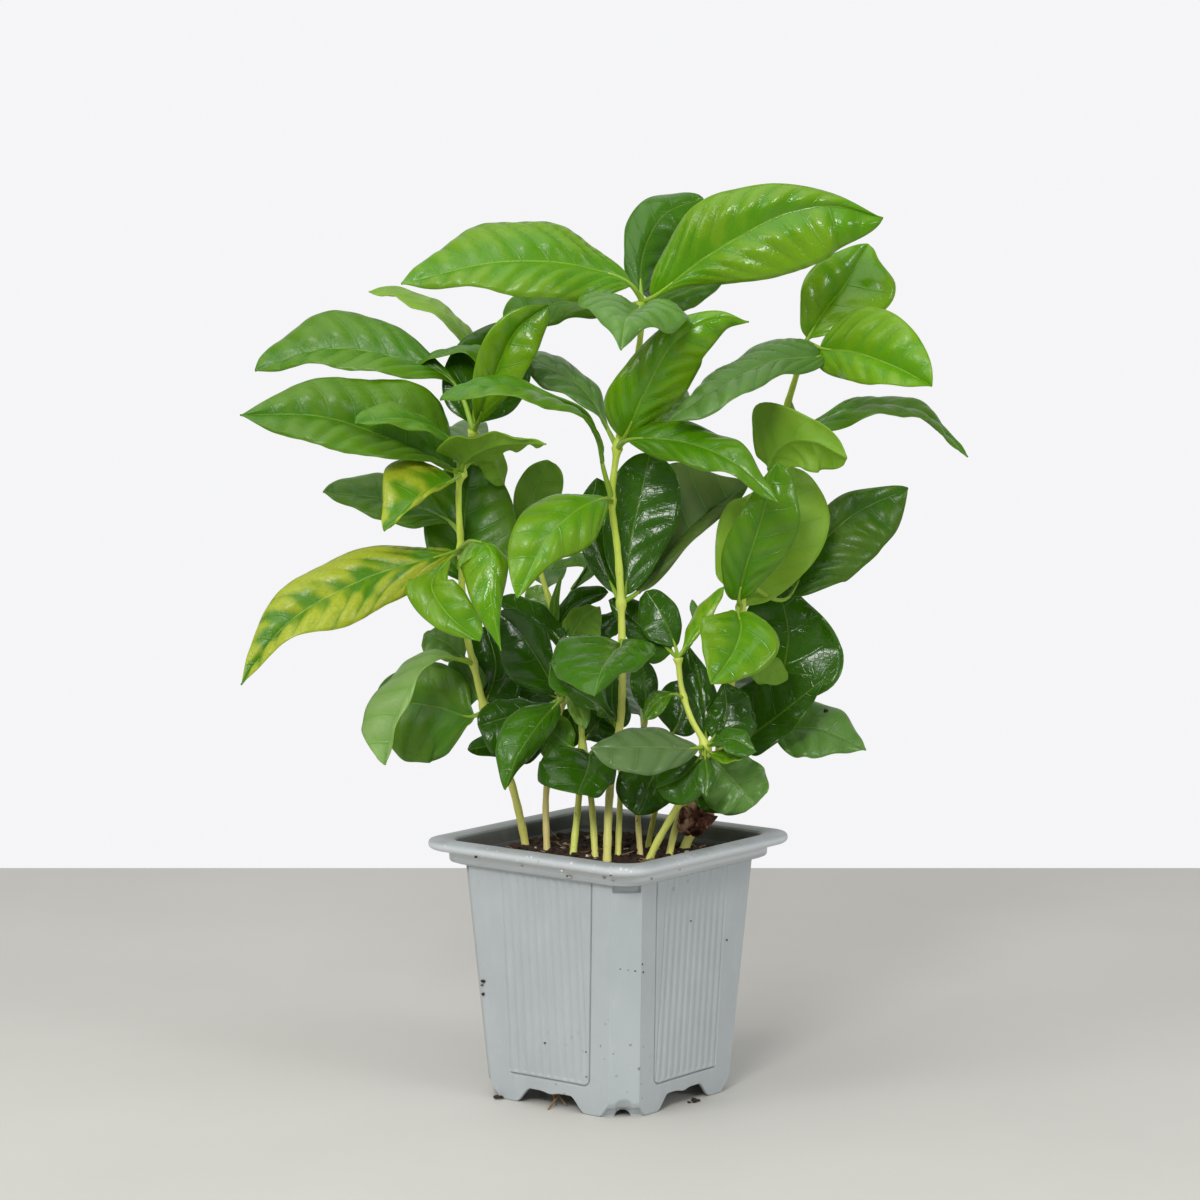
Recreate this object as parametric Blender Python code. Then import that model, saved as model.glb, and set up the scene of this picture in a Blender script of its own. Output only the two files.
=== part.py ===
"""Potted coffee plant: a square nursery pot, its soil and eleven leafy seedlings.

Metres, +Z up. The pot stands on the origin with its four faces square to X and Y.
Lengths below are in millimetres. Stems and leaves are placed by eye: each point holds
the x and y where it shows in the 1200 by 1200 photograph, and how many millimetres
it stands nearer to the viewer than the middle of the pot.
"""
import math
from collections import namedtuple

import bmesh
import bpy
import numpy as np
from mathutils import Matrix, Vector

MM = 0.001

# The pot
RIM_SIDE = 90.0
RIM_TOP = 86.0
RIM_DEPTH = 3.2
RIM_CORNER = 9.6
RIM_WIDTH = 7.2
COLLAR_SIDE = 79.4
COLLAR_CORNER = 8.0
COLLAR_FOOT = 78.0
WALL_TOP_SIDE = 73.5
FOOT_SIDE = 62.4
WALL_THICKNESS = 1.5
CORNER_CUT = 7.1
FOOT_CORNER_CUT = 10.8
FOOT_CUT_HEIGHT = 4.8
FLOOR_HEIGHT = 7.0
FLOOR_THICKNESS = 1.6
CORNER_STEPS = 4
PANEL_DEPTH = 0.45
PANEL_TOP = 77.0
PANEL_FOOT = 9.5
PANEL_SIDE_GAP = 8.0
RIB_PITCH = 3.3
RIB_COUNT = 10
RIB_SHARE = 0.3
ARCH_HEIGHT = 5.4
ARCH_FOOT_WIDTH = 29.0
ARCH_TOP_WIDTH = 16.0
FLOOR_HOLE_RADIUS = 3.5
FLOOR_HOLE_PLACE = 16.0
CORNER_DRAIN_RADIUS = 2.6

# The soil
SOIL_TOP = 78.6
SOIL_LUMP = 0.9
SOIL_STEPS = 7
SOIL_GAP = 0.3
STEM_IN_SOIL = 26.0
HOLE_GAP = 0.3

# The seedlings
BLADE_THICKNESS = 0.7
PETIOLE_HALF = 0.85
TIP_HALF = 0.35
SMALL_LEAF = 36.0
LARGE_LEAF = 60.0
RIB_STEPS = 60
EDGE_FROM = 6
EDGE_TO = 54
WIDEST_FROM = 0.3
WIDEST_TO = 0.62
LEAST_SHARE = 0.3
OUTWARD_SHARE = 0.7

# The viewer of the photograph, seen from the middle of the pot
VIEW_TURN = math.radians(38.1)
EYE_DISTANCE = 1337.0
EYE_HEIGHT = 320.0
EYE_ACROSS = -2.9
EYE_TILT = math.radians(6.66)
PICTURE_MIDDLE = 600.0
PICTURE_FOCUS = 4110.0
ACROSS = np.array([math.cos(VIEW_TURN), math.sin(VIEW_TURN), 0.0])
TOWARD = np.array([math.sin(VIEW_TURN), -math.cos(VIEW_TURN), 0.0])
UP = np.array([0.0, 0.0, 1.0])

Stem = namedtuple("Stem", "foot_radius top_radius route")
Leaf = namedtuple("Leaf", "plant form shade wave rib edge_a edge_b")

# Each stem starts on the soil, where two numbers are enough.
STEMS = {
    "left": Stem(1.6, 0.95, [
        (526, 849), (512, 785, -14), (484, 707, -8), (474, 666, -5), (466, 632, -4),
        (461, 550, 0), (461, 472, 2), (474, 431, 3)]),
    "centre": Stem(1.6, 1.0, [
        (607, 861), (610, 790, 3), (621, 715, 4), (622, 640, 5), (617, 545, 5),
        (612, 505, 5), (617, 450, 4), (640, 340, 0), (643, 302, 0)]),
    "right": Stem(1.9, 1.0, [
        (684, 850), (692, 831, -14), (712, 780, -13), (728, 700, -9), (738, 640, -5),
        (741, 606, 0), (760, 530, -6), (780, 430, -12), (797, 373, -15), (806, 342, -16)]),
    "front": Stem(1.6, 0.9, [
        (649, 861), (679, 803, 10), (705, 747, 16), (690, 716, 14), (681, 685, 11),
        (678, 658, 10)]),
    "low_left": Stem(1.5, 0.9, [
        (547, 851), (546, 796, -14), (553, 745, -12), (563, 697, -8)]),
    "low_middle": Stem(1.5, 0.9, [
        (573, 857), (579, 796, -6), (582, 740, -10), (578, 680, -14), (576, 640, -18)]),
    "tall_back": Stem(1.3, 0.9, [
        (595, 857), (591, 797, -9), (575, 700, -24), (552, 610, -32), (532, 545, -36)]),
    "low_front": Stem(1.3, 0.9, [
        (618, 857), (620, 800, -9), (622, 735, -9)]),
    "thin_back": Stem(1.2, 0.8, [
        (648, 846), (654, 817, -18), (664, 775, -15), (668, 740, -14)]),
    "low_back": Stem(1.3, 0.8, [
        (640, 854), (638, 815, -14), (640, 760, -20), (645, 720, -26)]),
    "low_right": Stem(1.5, 0.9, [
        (669, 857), (673, 838, -4), (684, 806, -13), (706, 775, -20), (735, 745, -24), (752, 715, -28),
        (768, 680, -32)]),
}

# Each rib runs from its stem to the foot of the blade and on to the tip.
# The two edges are given where each half of the blade is widest.
LEAVES = {
    "crown_left": Leaf("centre", "long", "bright", 0.6, [
        (643, 303, 0), (631, 285, 4), (584, 267, 10), (504, 262, 16), (401, 284, 18)],
        [(590, 243, 0), (520, 220, 2), (455, 238, 6)],
        [(605, 296, 12), (541, 299, 24), (470, 288, 24)]),
    "crown_right": Leaf("centre", "long", "bright", 0.6, [
        (643, 302, 1), (652, 298, 6), (700, 261, 14), (744, 234, 19), (784, 214, 21), (829, 206, 22),
        (883, 218, 20)],
        [(671, 243, 8), (682, 219, 10), (700, 201, 12), (731, 187, 15), (775, 183, 18), (829, 191, 20),
        (858, 203, 21)],
        [(673, 290, 10), (704, 286, 15), (735, 284, 19), (770, 280, 22), (800, 270, 24), (829, 258, 24),
        (856, 244, 23)]),
    "crown_back": Leaf("centre", "broad", "mid", 0.5, [
        (643, 302, -2), (641, 292, -6), (643, 255, -14), (664, 215, -22), (703, 198, -30)],
        [(624, 246, -16), (632, 212, -22)], [(690, 250, -26)]),
    "crown_forward": Leaf("centre", "broad", "sheen", 0.6, [
        (643, 304, 2), (641, 307, 10), (633, 312, 34), (625, 324, 50), (621, 350, 58)],
        [(585, 297, 22), (577, 299, 30), (595, 319, 44), (612, 332, 53)],
        [(678, 306, 20), (692, 317, 28), (669, 332, 42), (636, 334, 52)]),
    "crown_under_left": Leaf("centre", "broad", "mid", 0.5, [
        (643, 303, -2), (625, 306, -8), (562, 302, -22), (503, 322, -30)],
        [(575, 286, -26), (535, 285, -32), (509, 298, -34)],
        [(580, 318, -14), (557, 323, -18), (535, 331, -22)]),
    "crown_under_right": Leaf("centre", "broad", "mid", 0.4, [
        (643, 302, 0), (652, 303, -4), (690, 290, -12), (724, 280, -18)],
        [(690, 268, -22)], [(684, 312, -10)]),
    "second_upright": Leaf("centre", "long", "bright", 0.5, [
        (618, 448, 5), (624, 438, 8), (645, 392, 18), (684, 334, 24), (724, 318, 24), (749, 322, 24)],
        [(603, 412, 10), (619, 373, 16), (665, 326, 20)],
        [(662, 419, 12), (690, 385, 16), (716, 342, 22)]),
    "second_right": Leaf("centre", "long", "bright", 0.7, [
        (618, 448, 6), (628, 440, 14), (687, 443, 28), (733, 462, 38), (779, 503, 44)],
        [(655, 421, 14), (707, 430, 24), (755, 458, 36)],
        [(650, 455, 22), (692, 467, 36), (745, 483, 44)]),
    "second_left": Leaf("centre", "long", "sheen", 0.5, [
        (618, 448, 3), (608, 430, -1), (585, 392, -9), (545, 364, -16), (500, 350, -22)],
        [(590, 378, -16), (560, 360, -24), (525, 348, -28)],
        [(595, 414, -2), (560, 395, -6), (530, 378, -12)]),
    "shoot_left": Leaf("centre", "long", "mid", 0.4, [
        (612, 500, 5), (602, 462, 11), (599, 444, 14), (585, 418, 20), (545, 396, 28),
        (490, 387, 35), (440, 400, 37)],
        [(593, 420, 19), (556, 396, 26), (480, 376, 28)],
        [(566, 412, 36), (533, 404, 46), (465, 398, 46)]),
    "third_left": Leaf("centre", "long", "bright", 0.5, [
        (612, 502, 6), (608, 499, 10), (585, 505, 22), (550, 535, 32), (517, 598, 38)],
        [(565, 496, 16), (527, 508, 26), (509, 545, 34)],
        [(600, 530, 20), (578, 554, 28), (538, 576, 36)]),
    "middle_upright": Leaf("centre", "broad", "dark", 0.3, [
        (622, 602, 4), (624, 595, 1), (631, 540, -6), (642, 490, -10), (650, 453, -12)],
        [(606, 500, -8)], [(664, 552, -6), (680, 490, -8)]),
    "middle_olive": Leaf("centre", "long", "olive", 0.3, [
        (622, 602, 3), (638, 592, -4), (672, 548, -14), (710, 512, -22), (749, 484, -28)],
        [(650, 500, -18), (664, 462, -22), (695, 464, -26), (728, 474, -29)],
        [(652, 587, -8), (679, 557, -10), (700, 533, -13), (736, 505, -24)]),
    "middle_left": Leaf("centre", "broad", "dark", 0.3, [
        (622, 602, 3), (615, 592, 0), (600, 555, -8), (590, 515, -14), (597, 478, -18)],
        [(578, 540, -14)], [(620, 520, -16)]),
    "middle_forward": Leaf("centre", "broad", "mid", 0.5, [
        (621, 640, 6), (622, 645, 14), (612, 655, 34), (600, 675, 52), (594, 696, 58)],
        [(605, 634, 10), (588, 634, 16), (571, 637, 20), (558, 646, 27), (551, 660, 35), (554, 675, 42),
        (570, 689, 52)],
        [(628, 638, 10), (641, 635, 16), (653, 640, 21), (656, 649, 27), (650, 661, 35), (632, 671, 44),
        (613, 681, 52)]),
    "top_left": Leaf("left", "long", "mid", 0.5, [
        (474, 431, 3), (455, 385, -2), (388, 356, -4), (330, 349, -4), (255, 371, -4)],
        [(440, 362, -5), (425, 347, -9), (408, 335, -11), (389, 323, -12), (371, 315, -13), (344, 312, -13),
        (318, 316, -12), (288, 333, -11)],
        [(430, 379, 4), (352, 370, 8), (290, 367, 4)]),
    "wide_left": Leaf("left", "long", "mid", 0.5, [
        (461, 474, 3), (452, 470, 5), (391, 440, 14), (322, 417, 20), (240, 415, 24)],
        [(457, 428, 2), (441, 402, 5), (425, 390, 6), (404, 381, 6), (380, 378, 7), (329, 380, 12),
        (288, 385, 16)],
        [(440, 463, 14), (380, 460, 30), (290, 437, 32)]),
    "small_left": Leaf("left", "long", "mid", 0.4, [
        (461, 474, 6), (452, 441, 16), (405, 419, 28), (355, 423, 32)],
        [(420, 415, 22), (398, 405, 24), (378, 403, 26)],
        [(425, 432, 30), (400, 428, 32), (380, 424, 34)]),
    "curled_left": Leaf("left", "long", "sheen", 0.3, [
        (474, 431, 1), (474, 368, -15), (468, 342, -18), (452, 321, -24), (426, 303, -32),
        (396, 292, -40), (369, 292, -44)],
        [(468, 326, -32), (442, 303, -42), (412, 290, -48), (385, 285, -52)],
        [(452, 330, -14), (434, 316, -20), (408, 305, -26), (388, 296, -34)]),
    "needle_left": Leaf("left", "long", "mid", 0.2, [
        (474, 431, 4), (492, 385, 3), (478, 352, 0), (440, 354, -5), (405, 370, -8)],
        [(447, 351, -13)],
        [(447, 355, 3)]),
    "upright_left": Leaf("left", "long", "bright", 0.3, [
        (474, 431, 4), (477, 424, 7), (493, 380, 14), (520, 326, 18), (548, 305, 18)],
        [(482, 343, 20)], [(533, 360, 20)]),
    "upright_left_back": Leaf("left", "broad", "dark", 0.3, [
        (474, 431, 2), (473, 424, -1), (483, 385, -8), (500, 345, -14), (512, 322, -18)],
        [(445, 366, -6)], [(528, 388, -6)]),
    "forward_left": Leaf("left", "broad", "sheen", 0.6, [
        (461, 474, 4), (464, 463, 10), (484, 449, 26), (515, 443, 42), (546, 444, 52)],
        [(436, 447, 20), (448, 440, 26), (480, 435, 36), (512, 435, 46)],
        [(482, 462, 14), (502, 455, 22), (526, 448, 36)]),
    "drooping_left": Leaf("left", "broad", "mid", 0.3, [
        (461, 474, 1), (470, 463, -3), (492, 460, -12), (504, 485, -18)],
        [(499, 447, -14)], [(483, 473, -14)]),
    "mottled_small": Leaf("left", "broad", "mottled", 0.4, [
        (461, 476, 6), (453, 480, 12), (420, 495, 24), (384, 531, 32)],
        [(430, 463, 12), (405, 461, 15), (386, 463, 19), (383, 485, 25), (383, 508, 29)],
        [(445, 487, 17), (425, 499, 25), (405, 514, 29)]),
    "low_left_far": Leaf("left", "long", "mid", 0.4, [
        (462, 530, -3), (450, 522, -7), (399, 502, -18), (323, 492, -26)],
        [(372, 474, -30)], [(385, 522, -10)]),
    "behind_left": Leaf("left", "broad", "dark", 0.4, [
        (462, 592, -3), (463, 582, -8), (464, 530, -18), (470, 475, -26), (478, 445, -28)],
        [(424, 520, -16)], [(516, 528, -16)]),
    "mottled_long": Leaf("left", "long", "mottled", 0.6, [
        (461, 553, 3), (455, 552, 7), (362, 580, 18), (281, 630, 27), (241, 685, 31)],
        [(415, 547, 6), (349, 552, 12), (265, 610, 22)],
        [(415, 590, 16), (352, 626, 29), (262, 659, 34)]),
    "hanging_left": Leaf("left", "broad", "mid", 0.4, [
        (461, 553, 4), (449, 560, 12), (432, 585, 18), (446, 612, 24), (480, 641, 28)],
        [(415, 565, 12), (405, 583, 16), (414, 607, 20)], [(463, 590, 24)]),
    "hanging_right": Leaf("left", "long", "bright", 0.4, [
        (461, 552, 5), (474, 541, 18), (490, 549, 30), (491, 598, 37), (501, 651, 38)],
        [(457, 565, 28), (470, 599, 34)], [(505, 555, 26), (502, 600, 34)]),
    "pale_low": Leaf("left", "round", "pale", 0.8, [
        (469, 662, -6), (464, 658, -8), (447, 643, -14), (424, 634, -18)],
        [(467, 634, -10), (451, 622, -16), (437, 622, -18), (425, 629, -20)],
        [(443, 660, -10), (427, 657, -14), (417, 650, -18)]),
    "hanging_low": Leaf("left", "long", "mid", 0.4, [
        (470, 664, -4), (457, 659, 2), (440, 658, 7), (425, 667, 11), (409, 690, 14), (395, 722, 15),
        (385, 765, 16)],
        [(436, 646, 4), (413, 661, 3), (388, 682, 6), (370, 703, 9), (361, 723, 11), (361, 741, 13),
        (372, 752, 15)],
        [(421, 672, 13), (416, 690, 16), (406, 706, 18), (397, 726, 19), (391, 746, 18)]),
    "round_low": Leaf("left", "round", "mid", 0.3, [
        (481, 712, -8), (474, 716, -10), (442, 708, -17), (408, 703, -22), (376, 706, -25)],
        [(468, 690, -13), (452, 668, -18), (430, 661, -22), (408, 668, -24)],
        [(473, 730, -9), (458, 750, -12), (440, 760, -15), (420, 762, -17), (400, 755, -20)]),
    "streaky_low": Leaf("left", "broad", "sheen", 0.3, [
        (481, 705, -8), (478, 698, -14), (467, 678, -20), (452, 655, -24)],
        [(458, 704, -20), (445, 680, -24)],
        [(484, 672, -18)]),
    "grey_low": Leaf("left", "broad", "dark", 0.3, [
        (482, 710, -7), (486, 702, -12), (496, 668, -20), (486, 626, -26)],
        [(474, 690, -18), (470, 658, -23)],
        [(520, 694, -15), (519, 668, -20), (510, 642, -24)]),
    "tip_left": Leaf("right", "broad", "bright", 0.4, [
        (806, 342, -16), (808, 338, -16), (824, 312, -18), (847, 282, -20), (868, 244, -24)],
        [(801, 315, -14), (803, 280, -16), (830, 255, -20)],
        [(868, 318, -13), (888, 309, -15), (896, 291, -17), (893, 274, -19), (881, 254, -22)]),
    "tip_right": Leaf("right", "broad", "bright", 0.4, [
        (806, 342, -14), (820, 348, -8), (853, 352, 4), (893, 366, 15), (932, 386, 22)],
        [(848, 313, -3), (885, 309, 8), (918, 335, 17)],
        [(840, 378, 3), (875, 385, 18), (910, 387, 25)]),
    "tip_forward": Leaf("right", "long", "sheen", 0.5, [
        (806, 342, -14), (822, 352, -10), (770, 362, 8), (715, 390, 22), (669, 421, 30)],
        [(800, 338, -10), (743, 356, 2), (690, 396, 18)],
        [(815, 371, 2), (765, 381, 22), (705, 414, 34)]),
    "folded_right": Leaf("right", "broad", "bright", 0.3, [
        (777, 450, -12), (769, 469, -8), (776, 453, -2), (791, 441, 4), (814, 441, 9), (847, 458, 11)],
        [(757, 444, -7), (755, 418, -6), (758, 398, -3), (778, 394, 1), (800, 409, 4), (824, 425, 8),
        (841, 438, 10)],
        [(786, 471, 3), (804, 473, 8)]),
    "far_right": Leaf("right", "long", "mid", 0.5, [
        (788, 402, -14), (802, 424, -16), (850, 410, -16), (905, 410, -16), (968, 457, -14)],
        [(840, 404, -20), (880, 398, -28), (930, 408, -22)],
        [(840, 428, -8), (880, 415, -4), (935, 428, -6)]),
    "lower_right": Leaf("right", "long", "dark", 0.4, [
        (746, 585, -3), (790, 596, -20), (809, 560, -24), (850, 517, -28), (908, 488, -30)],
        [(812, 525, -26), (840, 495, -30), (880, 487, -30)],
        [(815, 598, -18), (838, 586, -20), (860, 569, -22), (882, 546, -24), (901, 520, -28)]),
    "backlit_right": Leaf("right", "broad", "yellow", 0.4, [
        (741, 608, -2), (744, 606, -8), (766, 560, -14), (788, 510, -18), (791, 467, -20)],
        [(717, 562, -8), (716, 540, -10), (749, 493, -16)],
        [(800, 578, -10), (829, 530, -14), (818, 486, -20)]),
    "upright_right": Leaf("right", "broad", "bright", 0.3, [
        (741, 608, 0), (739, 600, 6), (746, 567, 12), (758, 530, 16), (777, 463, 16)],
        [(723, 583, 10), (722, 548, 14), (757, 487, 16)],
        [(765, 581, 12), (801, 525, 16), (797, 495, 16)]),
    "hanging_bright": Leaf("right", "broad", "bright", 0.3, [
        (741, 608, 2), (738, 613, 9), (741, 627, 15), (736, 647, 21), (724, 667, 27), (711, 684, 31)],
        [(722, 601, 9), (708, 608, 14), (701, 625, 20), (702, 644, 25), (706, 663, 29)],
        [(756, 616, 12), (770, 624, 15), (779, 637, 18), (779, 651, 20), (770, 664, 23), (748, 677, 27),
        (730, 683, 30)]),
    "withered": Leaf("right", "round", "dried", 1.1, [
        (693, 832, -14), (703, 806, -9), (696, 817, -4), (684, 831, -1)],
        [(681, 812, -2)], [(709, 827, -2)]),
    "low_point_right": Leaf("right", "broad", "mid", 0.3, [
        (736, 650, -6), (745, 655, -8), (765, 668, -8), (787, 680, -6)],
        [(772, 655, -14)], [(756, 682, -2)]),
    "tip_shoot": Leaf("front", "long", "yellow", 0.2, [
        (678, 658, 10), (682, 652, 10), (702, 618, 7), (724, 587, 4)],
        [(695, 612, 2)], [(710, 620, 8)]),
    "glossy_up_left": Leaf("front", "broad", "dark", 0.3, [
        (678, 658, 10), (671, 652, 6), (643, 628, -6), (609, 600, -11)],
        [(654, 612, -8), (630, 598, -13)],
        [(660, 668, 5), (638, 652, -2), (620, 626, -8)]),
    "glossy_up": Leaf("front", "round", "dark", 0.3, [
        (678, 658, 9), (675, 645, 5), (662, 615, 1), (646, 591, -2)],
        [(650, 640, 4), (638, 618, -1), (636, 600, -3)],
        [(681, 642, 3), (682, 624, 1), (677, 606, -1), (665, 594, -3)]),
    "wavy_pale": Leaf("front", "broad", "dark", 1.1, [
        (706, 746, 11), (713, 738, 8), (726, 712, 4), (724, 682, 1)],
        [(708, 712, 5)],
        [(751, 737, 5), (755, 718, 4), (748, 700, 3), (738, 687, 2)]),
    "tiny_dark": Leaf("front", "long", "sheen", 0.1, [
        (678, 658, 9), (696, 634, 1), (698, 616, -4), (692, 600, -8)],
        [(690, 610, -6)],
        [(700, 612, -4)]),
    "glossy_left": Leaf("front", "long", "bluish", 0.3, [
        (705, 747, 16), (699, 748, 20), (650, 747, 34), (591, 748, 44)],
        [(645, 727, 26)], [(645, 775, 42)]),
    "small_front_right": Leaf("front", "long", "mid", 0.3, [
        (705, 747, 16), (711, 744, 19), (732, 739, 23), (756, 752, 26)],
        [(731, 727, 18)], [(728, 753, 29)]),
    "small_front_lit": Leaf("front", "long", "bright", 0.2, [
        (705, 749, 16), (711, 753, 19), (728, 757, 23), (746, 755, 25)],
        [(729, 749, 20)], [(727, 763, 27)]),
    "small_front_down": Leaf("front", "long", "mid", 0.2, [
        (705, 749, 18), (705, 756, 23), (707, 775, 31), (706, 797, 34)],
        [(697, 776, 31)], [(715, 773, 29)]),
    "low_front_left": Leaf("front", "broad", "mid", 0.3, [
        (705, 750, 15), (699, 758, 18), (680, 778, 23), (656, 788, 25)],
        [(668, 758, 20)], [(694, 801, 25)]),
    "wavy_round": Leaf("front", "round", "sheen", 1.6, [
        (705, 750, 13), (712, 757, 12), (735, 782, 12), (756, 804, 12)],
        [(763, 768, 10)], [(709, 806, 14)]),
    "wavy_fringe": Leaf("front", "round", "mid", 1.4, [
        (704, 752, 13), (706, 764, 9), (716, 792, 4), (722, 813, 3)],
        [(694, 775, 8), (691, 794, 4), (700, 808, 3)],
        [(730, 770, 2), (742, 790, 0), (737, 807, 0)]),
    "small_bright": Leaf("front", "long", "bright", 0.2, [
        (684, 699, 12), (673, 694, 16), (656, 703, 20), (644, 719, 22)],
        [(650, 695, 18)], [(662, 713, 22)]),
    "upright_dark": Leaf("front", "long", "dark", 0.2, [
        (704, 744, 13), (706, 737, 7), (702, 692, 0), (688, 645, -4)],
        [(682, 692, -2)], [(718, 698, -2)]),
    "curled_round": Leaf("front", "round", "dark", 0.5, [
        (706, 745, 12), (720, 742, 8), (735, 728, 4), (749, 707, 0)],
        [(721, 716, 4)], [(751, 738, 4)]),
    "drooping_stub": Leaf("low_left", "long", "pale", 0.2, [
        (563, 697, -7), (568, 695, 0), (578, 708, 6), (585, 729, 8)],
        [(569, 712, 7)], [(589, 707, 5)]),
    "hanging_pair_front": Leaf("low_left", "long", "mid", 0.3, [
        (563, 698, -8), (558, 703, 1), (545, 716, 9), (531, 735, 16), (518, 755, 21), (505, 790, 23)],
        [(532, 705, 6), (512, 713, 12), (498, 735, 16), (496, 752, 19), (499, 770, 21)],
        [(563, 712, 3), (556, 727, 6), (542, 744, 10), (528, 761, 15), (515, 776, 20)]),
    "hanging_pair_back": Leaf("low_left", "broad", "dark", 0.4, [
        (563, 698, -9), (550, 704, -6), (508, 717, 0), (478, 726, 2)],
        [(540, 702, -7), (512, 697, -6), (492, 701, -4), (481, 710, -1)],
        [(484, 746, 4), (498, 762, 6), (520, 765, 6), (537, 758, 4)]),
    "glossy_low_left": Leaf("low_left", "broad", "dark", 0.3, [
        (563, 698, -8), (556, 690, -4), (535, 655, 0), (513, 625, 2), (498, 612, 3)],
        [(554, 664, -1), (551, 641, 0), (545, 626, 1), (531, 614, 3), (515, 609, 4)],
        [(541, 693, 0), (522, 688, 1), (507, 675, 2), (500, 655, 3)]),
    "small_low": Leaf("low_left", "broad", "dark", 0.3, [
        (556, 721, -10), (545, 726, -15), (505, 742, -16), (468, 750, -15)],
        [(500, 728, -17), (484, 734, -16)],
        [(512, 757, -19), (487, 756, -18)]),
    "dark_gap": Leaf("low_left", "broad", "dark", 0.2, [
        (563, 700, -12), (555, 697, -16), (534, 692, -19), (516, 688, -22)],
        [(536, 680, -20)],
        [(534, 706, -16)]),
    "round_front": Leaf("low_middle", "round", "dark", 0.8, [
        (581, 768, -8), (588, 754, -3), (588, 768, 10), (578, 794, 22)],
        [(566, 747, 2), (547, 750, 7), (539, 765, 11), (540, 784, 15), (552, 797, 19)],
        [(604, 749, 2), (614, 757, 6), (617, 772, 10), (611, 786, 15), (597, 795, 20)]),
    "arched_dark": Leaf("low_middle", "broad", "dark", 0.3, [
        (577, 655, -17), (564, 640, -20), (563, 618, -25), (581, 600, -29), (608, 592, -32)],
        [(559, 606, -27), (571, 592, -30), (584, 586, -32), (598, 586, -33)],
        [(576, 614, -24), (594, 604, -28)]),
    "lit_glimpse": Leaf("low_middle", "broad", "mid", 0.4, [
        (576, 642, -18), (573, 637, -20), (581, 622, -22), (600, 607, -25)],
        [(566, 616, -22), (580, 606, -25)],
        [(592, 636, -17), (602, 622, -20)]),
    "gloss_glimpse": Leaf("low_middle", "broad", "dark", 0.3, [
        (577, 652, -17), (588, 646, -22), (604, 628, -27), (621, 612, -31)],
        [(592, 622, -28)],
        [(606, 642, -22), (620, 630, -26)]),
    "left_of_spike": Leaf("low_middle", "broad", "dark", 0.3, [
        (577, 655, -18), (566, 646, -18), (533, 618, -16), (496, 600, -14)],
        [(545, 607, -20), (522, 597, -19), (505, 594, -17)],
        [(545, 636, -12), (515, 622, -11)]),
    "spike": Leaf("low_middle", "long", "mid", 0.1, [
        (576, 642, -18), (557, 640, -22), (554, 606, -25), (563, 569, -27)],
        [(548, 622, -24)],
        [(559, 624, -23)]),
    "dark_centre": Leaf("low_middle", "broad", "dark", 0.4, [
        (581, 745, -9), (586, 738, -12), (600, 720, -16), (612, 704, -20)],
        [(577, 712, -15)],
        [(618, 736, -14)]),
    "dark_under": Leaf("low_middle", "broad", "dark", 0.3, [
        (580, 752, -9), (573, 748, -6), (553, 732, -5), (535, 718, -6)],
        [(566, 718, -7)],
        [(545, 758, -3)]),
    "notched_back": Leaf("tall_back", "broad", "sheen", 0.4, [
        (532, 546, -36), (530, 536, -37), (533, 500, -40), (548, 460, -44)],
        [(515, 490, -38)], [(563, 488, -38)]),
    "grey_back": Leaf("tall_back", "broad", "sheen", 0.4, [
        (556, 622, -31), (572, 590, -34), (585, 568, -38), (552, 568, -44)],
        [(575, 555, -44)], [(578, 579, -34)]),
    "inner_dark": Leaf("tall_back", "broad", "dark", 0.3, [
        (575, 702, -24), (572, 710, -27), (563, 730, -31), (552, 752, -34)],
        [(548, 722, -30)],
        [(583, 738, -32)]),
    "pale_back": Leaf("tall_back", "round", "pale", 0.4, [
        (555, 620, -31), (545, 622, -34), (541, 605, -36), (538, 585, -38)],
        [(525, 602, -36)], [(554, 603, -36)]),
    "crinkled": Leaf("low_front", "broad", "mid", 0.9, [
        (620, 736, -4), (613, 722, 2), (598, 704, 8), (575, 688, 16), (550, 663, 23)],
        [(604, 692, 3), (585, 672, 9), (565, 652, 16)],
        [(607, 718, 8), (592, 712, 14), (575, 701, 20), (556, 692, 24), (548, 678, 26)]),
    "low_front_up": Leaf("low_front", "broad", "dark", 0.3, [
        (622, 735, -9), (619, 728, -11), (612, 702, -15), (613, 674, -18)],
        [(597, 702, -14)],
        [(630, 708, -17)]),
    "glossy_down": Leaf("thin_back", "broad", "dark", 0.5, [
        (667, 745, -14), (661, 760, -6), (649, 785, 0), (636, 815, 4)],
        [(618, 775, 0)], [(676, 794, 0)]),
    "lit_back": Leaf("low_back", "broad", "bright", 0.3, [
        (645, 721, -26), (646, 712, -27), (645, 688, -29), (642, 660, -31)],
        [(630, 684, -29)], [(658, 682, -29)]),
    "dark_upright_low": Leaf("thin_back", "broad", "dark", 0.3, [
        (668, 741, -14), (673, 733, -15), (682, 710, -18), (680, 680, -21)],
        [(661, 720, -16), (659, 696, -18)],
        [(698, 728, -16), (702, 700, -19)]),
    "big_crinkled": Leaf("low_right", "round", "dark", 1.2, [
        (768, 681, -32), (772, 688, -31), (788, 642, -30), (776, 577, -33)],
        [(752, 672, -30), (742, 640, -31), (744, 608, -32), (752, 588, -33)],
        [(800, 702, -26), (818, 701, -25), (834, 691, -25), (845, 667, -26), (839, 646, -27), (832, 630, -28),
        (819, 616, -30), (805, 602, -32), (792, 587, -33)]),
    "big_dark": Leaf("low_right", "broad", "dark", 0.4, [
        (733, 748, -24), (739, 744, -20), (775, 718, -16), (826, 677, -12)],
        [(727, 722, -21), (729, 698, -21), (752, 682, -20), (786, 673, -17)],
        [(748, 763, -18), (762, 753, -16), (775, 744, -15), (795, 728, -13), (808, 711, -12)]),
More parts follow.
